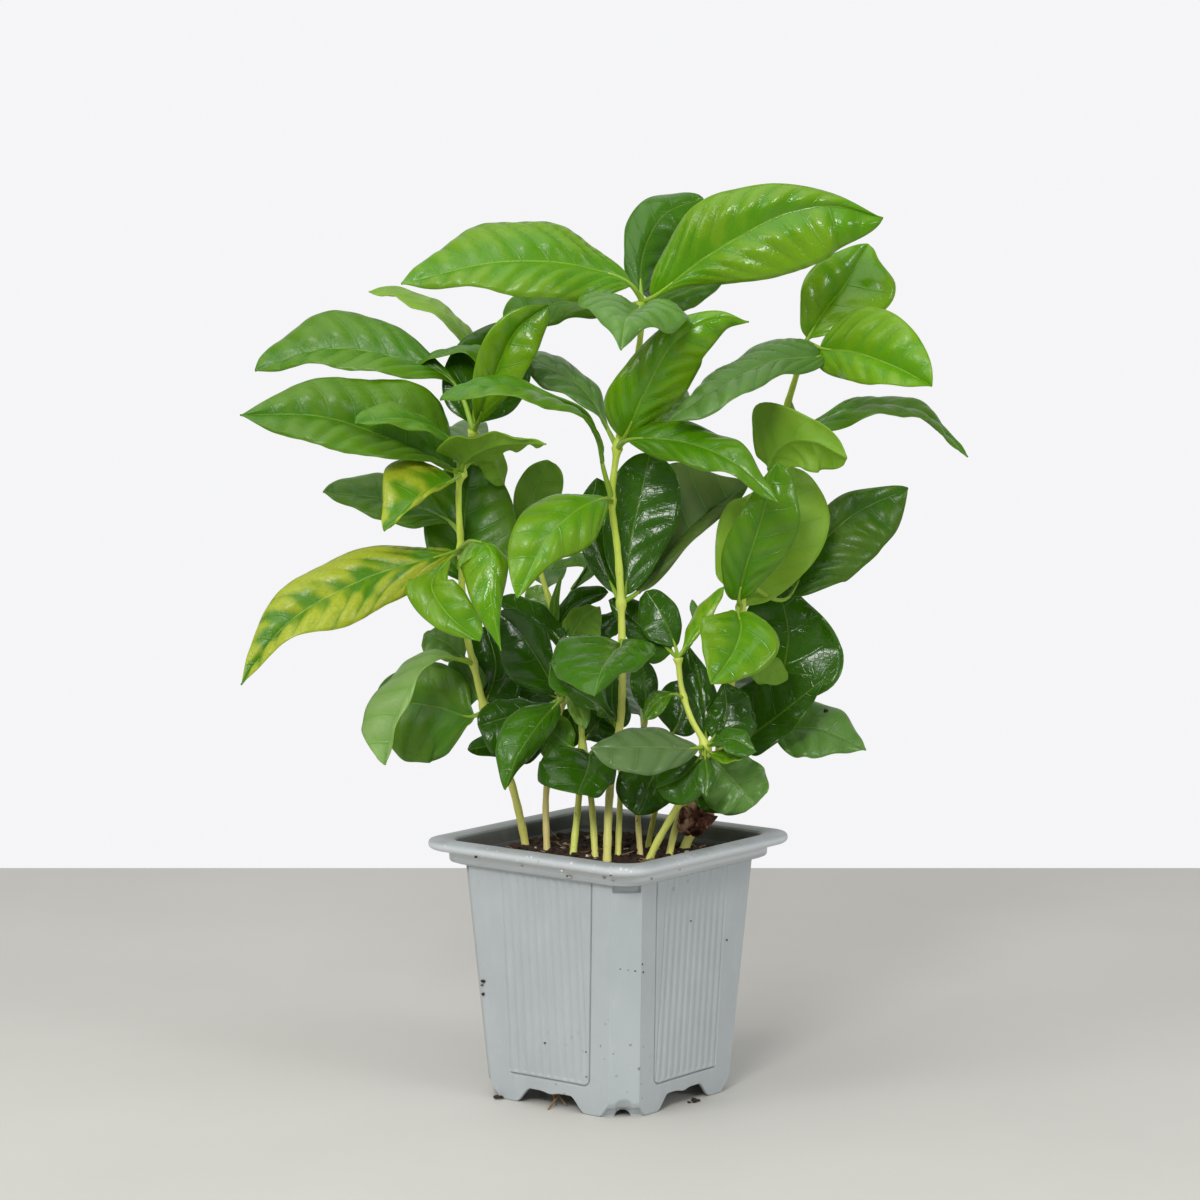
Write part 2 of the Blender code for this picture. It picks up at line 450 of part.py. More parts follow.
    "low_far_right": Leaf("low_right", "long", "mid", 0.5, [
        (748, 722, -28), (772, 728, -30), (815, 728, -28), (866, 750, -26)],
        [(818, 702, -36), (850, 720, -32)], [(785, 751, -22), (828, 756, -20)]),
}

# Out of the viewer's sight, the seedlings grow leaves to the back as well.
BACK_LEAVES = {
    "back_crown": Leaf("centre", "long", "bright", 0.4, [
        (643, 303, -3), (648, 300, -9), (668, 276, -40), (690, 262, -68)],
        [(640, 262, -40)], [(700, 292, -40)]),
    "back_second": Leaf("centre", "long", "mid", 0.4, [
        (618, 448, 2), (622, 442, -5), (645, 404, -36), (672, 372, -62)],
        [(624, 385, -40)], [(684, 412, -38)]),
    "back_left": Leaf("left", "long", "mid", 0.4, [
        (461, 474, -1), (462, 465, -8), (463, 440, -36), (470, 420, -62)],
        [(434, 440, -36)], [(488, 432, -36)]),
    "back_left_low": Leaf("left", "long", "mid", 0.4, [
        (461, 552, -3), (463, 545, -10), (474, 528, -42), (485, 520, -68)],
        [(452, 512, -42)], [(502, 538, -42)]),
    "back_right": Leaf("right", "long", "mid", 0.4, [
        (754, 552, -8), (758, 545, -14), (772, 522, -46), (786, 505, -72)],
        [(748, 510, -46)], [(802, 536, -46)]),
    "back_middle": Leaf("centre", "long", "mid", 0.4, [
        (619, 570, 2), (622, 562, -10), (640, 545, -46), (656, 530, -74)],
        [(614, 530, -46)], [(666, 556, -46)]),
    "back_tall": Leaf("tall_back", "long", "mid", 0.4, [
        (548, 598, -34), (546, 588, -40), (540, 560, -62), (536, 545, -84)],
        [(518, 552, -62)], [(566, 566, -62)]),
    "back_low_left": Leaf("low_left", "broad", "dark", 0.4, [
        (561, 706, -10), (556, 696, -20), (536, 674, -46), (520, 655, -66)],
        [(510, 678, -46)], [(556, 664, -46)]),
    "back_low_right": Leaf("low_right", "broad", "dark", 0.4, [
        (738, 742, -25), (742, 735, -33), (755, 716, -58), (768, 700, -78)],
        [(733, 706, -58)], [(782, 728, -58)]),
    "back_right_low": Leaf("right", "broad", "dark", 0.4, [
        (727, 705, -10), (730, 690, -28), (748, 652, -58), (770, 622, -78)],
        [(728, 634, -60)], [(772, 668, -58)]),
    "back_thin": Leaf("thin_back", "broad", "dark", 0.4, [
        (667, 750, -15), (672, 730, -24), (682, 705, -48), (690, 680, -66)],
        [(660, 700, -48)], [(704, 704, -48)]),
    "back_low": Leaf("low_back", "broad", "dark", 0.4, [
        (644, 730, -25), (642, 716, -34), (634, 690, -58), (626, 668, -76)],
        [(612, 694, -58)], [(656, 690, -58)]),
}

# How sharply a blade narrows to its foot and its tip
FORMS = {"long": 1.75, "broad": 1.3, "round": 0.9}

COLOURS = {
    "pot": (0.40, 0.45, 0.47, 1),
    "soil": (0.05, 0.025, 0.015, 1),
    "leaf": (0.09, 0.32, 0.03, 1),
}


def spot(x, y, toward):
    """Give the point, in millimetres, that shows at x, y and stands `toward` nearer."""
    side = (x - PICTURE_MIDDLE) / PICTURE_FOCUS
    lift = (PICTURE_MIDDLE - y) / PICTURE_FOCUS
    away = math.cos(EYE_TILT) + lift * math.sin(EYE_TILT)
    rise = lift * math.cos(EYE_TILT) - math.sin(EYE_TILT)
    reach = (EYE_DISTANCE - toward) / away
    return ACROSS * (EYE_ACROSS + side * reach) + UP * (EYE_HEIGHT + rise * reach) + TOWARD * toward


def spot_at_height(x, y, height):
    """Give the point that shows at x, y and lies at this height."""
    near = spot(x, y, 0.0)
    far = spot(x, y, -100.0)
    share = (near[2] - height) / (near[2] - far[2])
    return near + (far - near) * share


def smooth_route(points, places):
    """Follow a smooth curve through the points; places run from 0 to 1 along it."""
    points = np.array(points, float)
    steps = np.linalg.norm(np.diff(points, axis=0), axis=1)
    marks = np.concatenate([[0.0], np.cumsum(steps)]) / steps.sum()
    slopes = np.gradient(points, marks, axis=0)
    places = np.clip(np.asarray(places, float), 0.0, 1.0)
    index = np.clip(np.searchsorted(marks, places, side="right") - 1, 0, len(marks) - 2)
    span = marks[index + 1] - marks[index]
    u = ((places - marks[index]) / span)[:, None]
    span = span[:, None]
    start = (1 + 2 * u) * (1 - u) ** 2 * points[index]
    start += u * (1 - u) ** 2 * span * slopes[index]
    end = u ** 2 * (3 - 2 * u) * points[index + 1]
    end += u ** 2 * (u - 1) * span * slopes[index + 1]
    return start + end


def unit(vectors):
    return vectors / np.linalg.norm(vectors, axis=-1, keepdims=True)


def turned(vector, before, after):
    """Turn the vector as the direction before turns into the direction after."""
    turn = Vector(before).rotation_difference(Vector(after))
    return np.array(turn @ Vector(vector))


def blade_width(form, widest, place):
    """Share of the greatest width at a place from 0 (foot) to 1 (tip)."""
    a = FORMS[form] * widest
    b = FORMS[form] * (1.0 - widest)
    place = min(max(place, 0.0), 1.0)
    return place ** a * (1.0 - place) ** b / (widest ** a * (1.0 - widest) ** b)


def on_stem(plant, point):
    """The place on the plant's stem that is nearest to the point."""
    line = stem_line(plant)
    nearest, least = point, math.inf
    for start, end in zip(line, line[1:]):
        step = end - start
        share = float(np.clip((point - start) @ step / (step @ step), 0.0, 1.0))
        place = start + step * share
        gap = float(np.linalg.norm(point - place))
        if gap < least:
            nearest, least = place, gap
    return nearest


def blade_frame(leaf):
    """Give the rib, the share of it where the blade starts, its side vectors and length."""
    rib = [spot(*point) for point in leaf.rib]
    rib[0] = on_stem(leaf.plant, rib[0])
    steps = np.linalg.norm(np.diff(rib, axis=0), axis=1)
    start = steps[0] / steps.sum()
    places = np.linspace(start, 1.0, RIB_STEPS + 1)
    line = smooth_route(rib, places)
    heads = unit(np.gradient(line, axis=0))
    sides = [blade_side(leaf.form, edge, line, heads) for edge in (leaf.edge_a, leaf.edge_b)]
    return rib, start, sides, float(steps.sum())


def blade_side(form, edge, line, heads):
    """Read one edge as arms that reach out from the rib, in the frame of its start."""
    found = []
    for spot_of_edge in edge:
        point = spot(*spot_of_edge)
        nearest = int(np.argmin(np.linalg.norm(line - point, axis=1)))
        nearest = min(max(nearest, EDGE_FROM), EDGE_TO)
        arm = point - line[nearest]
        arm -= heads[nearest] * float(arm @ heads[nearest])
        found.append((nearest / RIB_STEPS, turned(arm, heads[nearest], heads[0])))
    found.sort(key=lambda item: item[0])
    places = [place for place, arm in found]
    reach = [float(np.linalg.norm(arm)) for place, arm in found]
    widest = min(max(places[int(np.argmax(reach))], WIDEST_FROM), WIDEST_TO)
    arms = [arm / max(blade_width(form, widest, place), LEAST_SHARE) for place, arm in found]
    return widest, places, np.array(arms)


def upper_side(leaf, centre, normal):
    """1 or -1, so that normal times it points to the blade's upper face."""
    outward = centre - stem_route(STEMS[leaf.plant])[1]
    outward = unit(outward * np.array([1.0, 1.0, 0.0]) + TOWARD * 1e-3)
    return 1.0 if normal @ (UP + outward * OUTWARD_SHARE) > 0 else -1.0


def leaf_surface(leaf, rows, columns):
    """Points of the blade's middle layer, as rows from stem to tip and columns across."""
    rib, start, sides, length = blade_frame(leaf)
    along = np.linspace(0.0, 1.0, rows + 1)[:-1]
    places = np.concatenate([[0.0, start], start + (1 - start) * (0.08 + 0.92 * along[1:]), [1.0]])
    inner = np.clip((places - start) / (1.0 - start), 0.0, 1.0)
    line = smooth_route(rib, places)
    heads = unit(smooth_route(rib, places + 0.01) - smooth_route(rib, places - 0.01))
    arms = []
    widths = []
    for widest, marks, reaches in sides:
        arm = np.stack([np.interp(inner, marks, reaches[:, axis]) for axis in range(3)], axis=-1)
        arm = np.array([turned(arm[row], heads[1], heads[row]) for row in range(len(places))])
        width = np.array([blade_width(leaf.form, widest, place) for place in inner])
        least = np.where(inner > 0.5, TIP_HALF, PETIOLE_HALF) / np.linalg.norm(arm, axis=1)
        arms.append(arm * np.maximum(width, least)[:, None])
        widths.append(width)
    normal = unit(np.cross(heads, unit(arms[1]) - unit(arms[0])))
    normal = normal * upper_side(leaf, line.mean(axis=0), normal[2:-1].mean(axis=0))
    swell = 0.06 * (np.linalg.norm(arms[0], axis=1) + np.linalg.norm(arms[1], axis=1))
    grid = np.zeros((len(places), columns + 1, 3))
    for column, share in enumerate(np.linspace(-1.0, 1.0, columns + 1)):
        side = 0 if share < 0 else 1
        bend = 4 * abs(share) * (1 - abs(share)) * swell
        wave = leaf.wave * np.sin(19.0 * inner + (2.0, 0.4)[side]) * share ** 2
        wave = wave * np.minimum(1.0, 4 * widths[side])
        grid[:, column] = line + arms[side] * abs(share) + normal * (bend + wave)[:, None]
    return grid, length


def surface_normals(grid):
    down = np.gradient(grid, axis=0)
    over = np.gradient(grid, axis=1)
    return unit(np.cross(down, over))


def leaf_solid(name, leaf):
    """A closed blade: two faces, split into triangles alike, and a narrow edge."""
    length = blade_frame(leaf)[3]
    rows = 3 if length < SMALL_LEAF else 5
    columns = 2
    if length > LARGE_LEAF:
        rows, columns = 6, 4
    grid, _ = leaf_surface(leaf, rows, columns)
    normals = surface_normals(grid)
    half = np.full(grid.shape[:2], BLADE_THICKNESS / 2)
    half[:2, :] = PETIOLE_HALF * 0.8
    top = grid + normals * half[..., None]
    under = grid - normals * half[..., None]
    count_rows, count_columns = grid.shape[:2]
    vertices = np.concatenate([top.reshape(-1, 3), under.reshape(-1, 3)]) * MM
    shift = count_rows * count_columns

    def at(row, column):
        return row * count_columns + column

    faces = []
    for row in range(count_rows - 1):
        for column in range(count_columns - 1):
            a, b = at(row, column), at(row + 1, column)
            c, d = at(row + 1, column + 1), at(row, column + 1)
            faces += [(a, b, c), (a, c, d)]
            faces += [(a + shift, c + shift, b + shift), (a + shift, d + shift, c + shift)]
    border = [at(row, 0) for row in range(count_rows)]
    border += [at(count_rows - 1, column) for column in range(1, count_columns)]
    border += [at(row, count_columns - 1) for row in range(count_rows - 2, -1, -1)]
    border += [at(0, column) for column in range(count_columns - 2, 0, -1)]
    for first, second in zip(border, border[1:] + border[:1]):
        faces += [(first, first + shift, second + shift), (first, second + shift, second)]
    return new_solid(name, vertices, faces)


def stem_route(stem):
    """The stem's points in millimetres, from its foot in the soil to its top."""
    first = stem.route[0]
    points = [spot_at_height(first[0], first[1], SOIL_TOP)]
    points += [spot(*point) for point in stem.route[1:]]
    lean = unit(points[1] - points[0])
    lean = unit(lean + UP * 2.0)
    return [points[0] - lean * STEM_IN_SOIL] + points


def stem_line(plant):
    """The finer points that the stem's rings stand on."""
    route = np.array(stem_route(STEMS[plant]))
    steps = np.linalg.norm(np.diff(route, axis=0), axis=1)
    soil = steps[0] / steps.sum()
    line = smooth_route(route, np.linspace(soil, 1.0, 2 * len(route) - 3))
    return np.concatenate([route[:1], line])


def stem_tube(name, plant):
    """The stem as a round bar that thins toward its top."""
    stem = STEMS[plant]
    line = stem_line(plant)
    curve = bpy.data.curves.new(name + "_line", "CURVE")
    curve.dimensions = "3D"
    curve.bevel_depth = stem.foot_radius * MM
    curve.bevel_resolution = 2
    curve.use_fill_caps = True
    spline = curve.splines.new("POLY")
    spline.points.add(len(line) - 1)
    slimming = stem.top_radius / stem.foot_radius - 1.0
    for index, (point, place) in enumerate(zip(spline.points, line)):
        point.co = (*(place * MM), 1.0)
        point.radius = 1.0 + slimming * index / (len(line) - 1)
    guide = bpy.data.objects.new(name + "_line", curve)
    PARTS.objects.link(guide)
    bpy.context.view_layer.update()
    finished = guide.evaluated_get(bpy.context.evaluated_depsgraph_get())
    mesh = bpy.data.meshes.new_from_object(finished)
    mesh.name = name
    bpy.data.objects.remove(guide)
    shape = bmesh.new()
    shape.from_mesh(mesh)
    bmesh.ops.remove_doubles(shape, verts=shape.verts, dist=1e-6)
    shape.to_mesh(mesh)
    shape.free()
    solid = bpy.data.objects.new(name, mesh)
    PARTS.objects.link(solid)
    return solid


def new_solid(name, vertices, faces):
    mesh = bpy.data.meshes.new(name)
    mesh.from_pydata([tuple(v) for v in vertices], [], [tuple(f) for f in faces])
    shape = bmesh.new()
    shape.from_mesh(mesh)
    bmesh.ops.recalc_face_normals(shape, faces=shape.faces)
    if shape.calc_volume(signed=True) < 0:
        bmesh.ops.reverse_faces(shape, faces=shape.faces)
    shape.to_mesh(mesh)
    shape.free()
    solid = bpy.data.objects.new(name, mesh)
    PARTS.objects.link(solid)
    return solid


def paint(solid, colour, roughness):
    material = bpy.data.materials.new(solid.name)
    material.use_nodes = True
    shader = material.node_tree.nodes["Principled BSDF"]
    shader.inputs["Base Color"].default_value = COLOURS[colour]
    shader.inputs["Roughness"].default_value = roughness
    material.diffuse_color = COLOURS[colour]
    solid.data.materials.clear()
    solid.data.materials.append(material)


def apply_modifiers(solid):
    """Keep the finished mesh and drop the modifiers that made it."""
    bpy.context.view_layer.update()
    finished = solid.evaluated_get(bpy.context.evaluated_depsgraph_get())
    mesh = bpy.data.meshes.new_from_object(finished)
    solid.modifiers.clear()
    old = solid.data
    solid.data = mesh
    mesh.name = solid.name
    bpy.data.meshes.remove(old)


def combine(solid, others, operation, solver="EXACT"):
    """Join or cut with all the other solids at once, then remove them."""
    group = bpy.data.collections.new(solid.name + "_with")
    for other in others:
        PARTS.objects.unlink(other)
        group.objects.link(other)
    step = solid.modifiers.new(operation, "BOOLEAN")
    step.operation = operation
    step.operand_type = "COLLECTION"
    step.collection = group
    step.solver = solver
    apply_modifiers(solid)
    for other in others:
        bpy.data.objects.remove(other)
    bpy.data.collections.remove(group)


def corner_ring(half, corner, height, rounded):
    """A square ring of points whose corners are round or cut straight."""
    points = []
    for quarter in range(4):
        turn = quarter * math.pi / 2
        for step in range(CORNER_STEPS + 1):
            share = step / CORNER_STEPS
            if rounded:
                x = half - corner + corner * math.cos(share * math.pi / 2)
                y = half - corner + corner * math.sin(share * math.pi / 2)
            else:
                x = half - corner * share
                y = half - corner * (1 - share)
            points.append((x * math.cos(turn) - y * math.sin(turn),
                           x * math.sin(turn) + y * math.cos(turn), height))
    return points


def loft(name, rings):
    """A closed solid through rings that hold equally many points."""
    count = len(rings[0])
    vertices = [point for ring in rings for point in ring]
    faces = []
    for level in range(len(rings) - 1):
        for index in range(count):
            a = level * count + index
            b = level * count + (index + 1) % count
            faces.append((a, b, b + count, a + count))
    faces.append(tuple(reversed(range(count))))
    faces.append(tuple(range(len(vertices) - count, len(vertices))))
    return new_solid(name, np.array(vertices) * MM, faces)


def wall_half(height):
    """Half the pot's width over its flat walls at this height."""
    share = height / COLLAR_FOOT
    return (FOOT_SIDE + (WALL_TOP_SIDE - FOOT_SIDE) * share) / 2


def pot_outside():
    """The pot's outer faces: tapered wall, stepped collar and rim."""
    rim_foot = RIM_TOP - RIM_DEPTH
    collar = COLLAR_SIDE / 2
    rim = RIM_SIDE / 2
    cut = FOOT_CUT_HEIGHT
    return loft("pot", [
        corner_ring(wall_half(0.0), FOOT_CORNER_CUT, 0.0, False),
        corner_ring(wall_half(cut), CORNER_CUT, cut, False),
        corner_ring(wall_half(COLLAR_FOOT), CORNER_CUT, COLLAR_FOOT, False),
        corner_ring(collar - 1.0, COLLAR_CORNER, COLLAR_FOOT + 0.5, True),
        corner_ring(collar, COLLAR_CORNER, rim_foot, True),
        corner_ring(rim - 0.4, RIM_CORNER, rim_foot, True),
        corner_ring(rim, RIM_CORNER, rim_foot + 0.6, True),
        corner_ring(rim, RIM_CORNER, RIM_TOP - 1.6, True),
        corner_ring(rim - 0.6, RIM_CORNER, RIM_TOP - 0.6, True),
        corner_ring(rim - 2.0, RIM_CORNER - 1.0, RIM_TOP, True),
    ])


def pot_inside():
    """What is hollow in the pot, above its floor."""
    floor = FLOOR_HEIGHT
    step = COLLAR_FOOT - 1.0
    mouth = RIM_SIDE / 2 - RIM_WIDTH
    return loft("hollow", [
        corner_ring(wall_half(floor) - WALL_THICKNESS, CORNER_CUT, floor, False),
        corner_ring(wall_half(step) - WALL_THICKNESS, CORNER_CUT, step, False),
        corner_ring(mouth - 0.4, COLLAR_CORNER - 1.5, step + 3.2, True),
        corner_ring(mouth, COLLAR_CORNER - 1.5, RIM_TOP + 1.0, True),
    ])


def pot_under():
    """The hollow under the floor, between the feet."""
    top = FLOOR_HEIGHT - FLOOR_THICKNESS
    return loft("under", [
        corner_ring(wall_half(0.0) - 2.0, FOOT_CORNER_CUT, -1.0, False),
        corner_ring(wall_half(top) - 2.0, FOOT_CORNER_CUT - 1.0, top, False),
    ])


def on_face(points, quarter):
    """Turn points given for the face toward -Y to one of the four faces."""
    angle = quarter * math.pi / 2
    return [(x * math.cos(angle) - y * math.sin(angle),
             x * math.sin(angle) + y * math.cos(angle), z) for x, y, z in points]


def prism(name, near, far):
    """A closed solid between two outlines that hold equally many points."""
    return loft(name, [near, far])


def panel_cutter(quarter):
    """A shallow slab with upright, parallel ribs that sinks one face between its borders."""
    rings = []
    for height in (PANEL_FOOT, PANEL_TOP):
        wall = -wall_half(height)
        half = wall_half(height) - CORNER_CUT - PANEL_SIDE_GAP
        ring = [(half, wall - 2.0, height), (-half, wall - 2.0, height)]
        ring.append((-half, wall + PANEL_DEPTH, height))
        for rib in range(RIB_COUNT):
            left = (rib - RIB_COUNT / 2) * RIB_PITCH
            ring.append((left + RIB_PITCH * 0.15, wall + PANEL_DEPTH, height))
            ring.append((left + RIB_PITCH * 0.3, wall + PANEL_DEPTH * RIB_SHARE, height))
            ring.append((left + RIB_PITCH * 0.7, wall + PANEL_DEPTH * RIB_SHARE, height))
            ring.append((left + RIB_PITCH * 0.85, wall + PANEL_DEPTH, height))
        ring.append((half, wall + PANEL_DEPTH, height))
        rings.append(on_face(ring, quarter))
    return loft("panel", rings)


def arch_cutter(quarter):
    """The flat arch between two feet of one face."""
    outline = [(-ARCH_FOOT_WIDTH / 2, -1.0), (ARCH_FOOT_WIDTH / 2, -1.0),
               (ARCH_FOOT_WIDTH / 2 - 1.0, 0.6), (ARCH_TOP_WIDTH / 2 + 1.4, ARCH_HEIGHT - 1.2),
               (ARCH_TOP_WIDTH / 2 - 1.4, ARCH_HEIGHT - 0.3), (3.0, ARCH_HEIGHT - 1.0),
               (-3.0, ARCH_HEIGHT - 1.0), (1.4 - ARCH_TOP_WIDTH / 2, ARCH_HEIGHT - 0.3),
               (-ARCH_TOP_WIDTH / 2 - 1.4, ARCH_HEIGHT - 1.2), (1.0 - ARCH_FOOT_WIDTH / 2, 0.6)]
    near = on_face([(x, -FOOT_SIDE / 2 - 4.0, z) for x, z in outline], quarter)
    far = on_face([(x, -FOOT_SIDE / 2 + 6.0, z) for x, z in outline], quarter)
    return prism("arch", near, far)


def round_bar(name, start, end, radius, sides=12):
    """A plain cylinder between two points, in millimetres."""
    start, end = Vector(start), Vector(end)
    along = end - start
    mesh = bpy.data.meshes.new(name)
    shape = bmesh.new()
    turn = Vector((0, 0, 1)).rotation_difference(along).to_matrix().to_4x4()
    place = Matrix.Translation((start + end) / 2 * MM) @ turn
    bmesh.ops.create_cone(shape, cap_ends=True, segments=sides, radius1=radius * MM,
                          radius2=radius * MM, depth=along.length * MM, matrix=place)
    shape.to_mesh(mesh)
    shape.free()
    bar = bpy.data.objects.new(name, mesh)
    PARTS.objects.link(bar)
    return bar


def corner_drain(quarter):
    """The half-round drain notch under one cut corner."""
    angle = math.pi / 4 + quarter * math.pi / 2
    near = FOOT_SIDE / 2 * 0.8
    far = FOOT_SIDE / 2 * 1.7
    direction = np.array([math.cos(angle), math.sin(angle), 0.0])
    low = UP * -0.4
    return round_bar("drain", direction * near + low, direction * far + low, CORNER_DRAIN_RADIUS)


def build_pot():
    pot = pot_outside()
    cutters = [pot_inside(), pot_under()]
    for quarter in range(4):
        cutters.append(panel_cutter(quarter))
        cutters.append(arch_cutter(quarter))
        cutters.append(corner_drain(quarter))
    for x in (-1, 0, 1):
        for y in (-1, 0, 1):
            centre = (x * FLOOR_HOLE_PLACE, y * FLOOR_HOLE_PLACE)
            cutters.append(round_bar("hole", (*centre, 3.0), (*centre, 9.0), FLOOR_HOLE_RADIUS))
    combine(pot, cutters, "DIFFERENCE")
    paint(pot, "pot", 0.55)
    return pot


def build_soil():
    """Soil that fills the pot, lumpy on top, with a plain hole for each stem."""
    floor = FLOOR_HEIGHT + SOIL_GAP
    low = wall_half(floor) - WALL_THICKNESS - SOIL_GAP
    side = wall_half(SOIL_TOP - 2.0) - WALL_THICKNESS - SOIL_GAP
    body = loft("soil", [
        corner_ring(low, CORNER_CUT, floor, False),
        corner_ring(side, CORNER_CUT, SOIL_TOP - 2.0, False),
    ])
    lumps = lump_sheet(side)
    combine(body, [lumps], "UNION")
    holes = []
    for name, stem in STEMS.items():
        route = stem_route(stem)
        down = unit(route[1] - route[0])
        foot = route[0] - down * HOLE_GAP
        head = route[1] + down * 6.0
        holes.append(round_bar("hole_" + name, foot, head, stem.foot_radius + HOLE_GAP, 10))
    combine(body, holes, "DIFFERENCE")
    paint(body, "soil", 0.95)
    return body


def lump_sheet(half):
    """The uneven top of the soil, a thick sheet inside the pot's wall."""
    reach = half - 1.2
    across = np.linspace(-reach, reach, SOIL_STEPS + 1)
    cut = CORNER_CUT + 1.0
    vertices = []
    for level in (0, 1):
        for y in across:
            for x in across:
                over = max(0.0, abs(x) + abs(y) - (2 * reach - cut))
                px = x - math.copysign(over / 2, x)
                py = y - math.copysign(over / 2, y)
                lump = math.sin(x * 0.61 + 1.3 * math.sin(y * 0.43)) * math.cos(y * 0.53 - x * 0.17)
                height = SOIL_TOP + SOIL_LUMP * lump if level else SOIL_TOP - 4.0
                vertices.append((px, py, height))
    count = SOIL_STEPS + 1
    shift = count * count
    faces = []
    for row in range(SOIL_STEPS):
        for column in range(SOIL_STEPS):
            a = row * count + column
            faces.append((a + shift, a + 1 + shift, a + count + 1 + shift))
            faces.append((a + shift, a + count + 1 + shift, a + count + shift))
            faces.append((a, a + count, a + count + 1, a + 1))
    border = list(range(count)) + [row * count + SOIL_STEPS for row in range(1, count)]
    border += [shift - 1 - column for column in range(1, count)]
    border += [row * count for row in range(SOIL_STEPS - 1, 0, -1)]
    for first, second in zip(border, border[1:] + border[:1]):
        faces.append((first, second, second + shift, first + shift))
    return new_solid("lumps", np.array(vertices) * MM, faces)


def build_seedling(plant, leaves):
    """One stem fused with all its leaves."""
    solid = stem_tube("seedling_" + plant, plant)
    blades = [leaf_solid(name, leaf) for name, leaf in leaves.items() if leaf.plant == plant]
    combine(solid, blades, "UNION", "MANIFOLD")
    solid.data.shade_smooth()
    paint(solid, "leaf", 0.35)
    return solid


def clear_scene():
    for thing in list(bpy.data.objects):
        bpy.data.objects.remove(thing)


def main():
    build_pot()
    build_soil()
    leaves = {**LEAVES, **BACK_LEAVES}
    for plant in STEMS:
        build_seedling(plant, leaves)


clear_scene()
PARTS = bpy.data.collections.new("potted_coffee_plant")
bpy.context.scene.collection.children.link(PARTS)
main()
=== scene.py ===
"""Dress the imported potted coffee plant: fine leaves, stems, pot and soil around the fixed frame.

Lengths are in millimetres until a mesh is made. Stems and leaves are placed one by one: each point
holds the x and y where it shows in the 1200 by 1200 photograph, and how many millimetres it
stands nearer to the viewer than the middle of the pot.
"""
import math
from collections import namedtuple

import bpy
import numpy as np
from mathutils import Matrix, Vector


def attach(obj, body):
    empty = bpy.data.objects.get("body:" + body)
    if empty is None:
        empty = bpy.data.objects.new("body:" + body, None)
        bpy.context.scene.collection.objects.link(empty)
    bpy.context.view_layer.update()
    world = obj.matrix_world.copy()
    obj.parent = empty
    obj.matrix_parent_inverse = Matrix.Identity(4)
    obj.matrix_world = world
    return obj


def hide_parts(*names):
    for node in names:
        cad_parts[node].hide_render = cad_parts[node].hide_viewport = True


bl_info = {
    "name": "Potted coffee plant",
    "version": (1, 0, 0),
    "blender": (4, 5, 0),
    "location": "View3D > Sidebar > Plant",
    "description": "Builds the leaves, stems, soil and nursery pot of a young coffee plant",
    "category": "Object",
}

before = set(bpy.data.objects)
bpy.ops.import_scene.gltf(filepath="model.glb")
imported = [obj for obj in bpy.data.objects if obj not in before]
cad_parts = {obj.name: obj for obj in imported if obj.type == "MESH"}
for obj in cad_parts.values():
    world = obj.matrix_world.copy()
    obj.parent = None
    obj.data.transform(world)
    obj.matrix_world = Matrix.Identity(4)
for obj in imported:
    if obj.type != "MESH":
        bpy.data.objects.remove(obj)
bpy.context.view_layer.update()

MM = 0.001
BODY = "root"

# The viewer of the photograph, seen from the middle of the pot
VIEW_TURN = math.radians(38.1)
EYE_DISTANCE = 1337.0
EYE_HEIGHT = 320.0
EYE_ACROSS = -2.9
EYE_TILT = math.radians(6.66)
PICTURE_SIDE = 1200.0
PICTURE_FOCUS = 4110.0
SENSOR = 36.0
ACROSS = np.array([math.cos(VIEW_TURN), math.sin(VIEW_TURN), 0.0])
TOWARD = np.array([math.sin(VIEW_TURN), -math.cos(VIEW_TURN), 0.0])
UP = np.array([0.0, 0.0, 1.0])

# The pot
RIM_SIDE = 90.0
RIM_TOP = 86.0
ROLL_RADIUS = 1.75
COLLAR_SIDE = 79.4
COLLAR_FOOT = 78.0
WALL_TOP_SIDE = 73.5
FOOT_SIDE = 62.4
WALL_THICKNESS = 1.5
CORNER_CUT = 7.1
FOOT_CORNER_CUT = 10.8
FOOT_CUT_HEIGHT = 4.8
FLOOR_HEIGHT = 7.0
FLOOR_THICKNESS = 1.6
PANEL_FOOT = 9.5
PANEL_SIDE_GAP = 8.0
PANEL_CORNER = 2.6
GROOVE_DEPTH = 0.55
GROOVE_HALF = 0.26
GROOVE_PLACE = 0.703
RIB_PITCH = 3.3
RIB_COUNT = 10
RIB_DEPTH = 0.3
ARCH_HEIGHT = 5.1
ARCH_FOOT_HALF = 14.5
ARCH_TOP_HALF = 8.2
FLOOR_HOLE_RADIUS = 3.5
FLOOR_HOLE_PLACE = 16.0
CELL_STEPS = 8
CORNER_DRAIN_RADIUS = 2.6
FLAT_STEPS = 216
CORNER_STEPS = 22
CORNER_SINK = 0.8
CORNER_FOOT_TOP = (2.6, 3.1)
CORNER_FOOT_HALF = (6.3, 6.6)
CORNER_PATCH_FOOT = (75.1, 75.5)
CORNER_PATCH_HALF = (4.2, 4.5)
SHARP_ANGLE = math.radians(32)
SKIRT = 14.0

# The soil
SOIL_TOP = 78.6
SOIL_HALF = WALL_TOP_SIDE / 2 - WALL_THICKNESS - 0.2
SOIL_STEPS = 210
STEM_IN_SOIL = 26.0

# How a blade is read from the photograph: its half width at the stalk and at the tip, the steps
# along its rib, where its edges may be met, and where it may be widest
PETIOLE_HALF = 0.85
TIP_HALF = 0.3
RIB_STEPS = 60
EDGE_FROM = 6
EDGE_TO = 54
WIDEST_FROM = 0.3
WIDEST_TO = 0.62
LEAST_SHARE = 0.3
OUTWARD_SHARE = 0.7

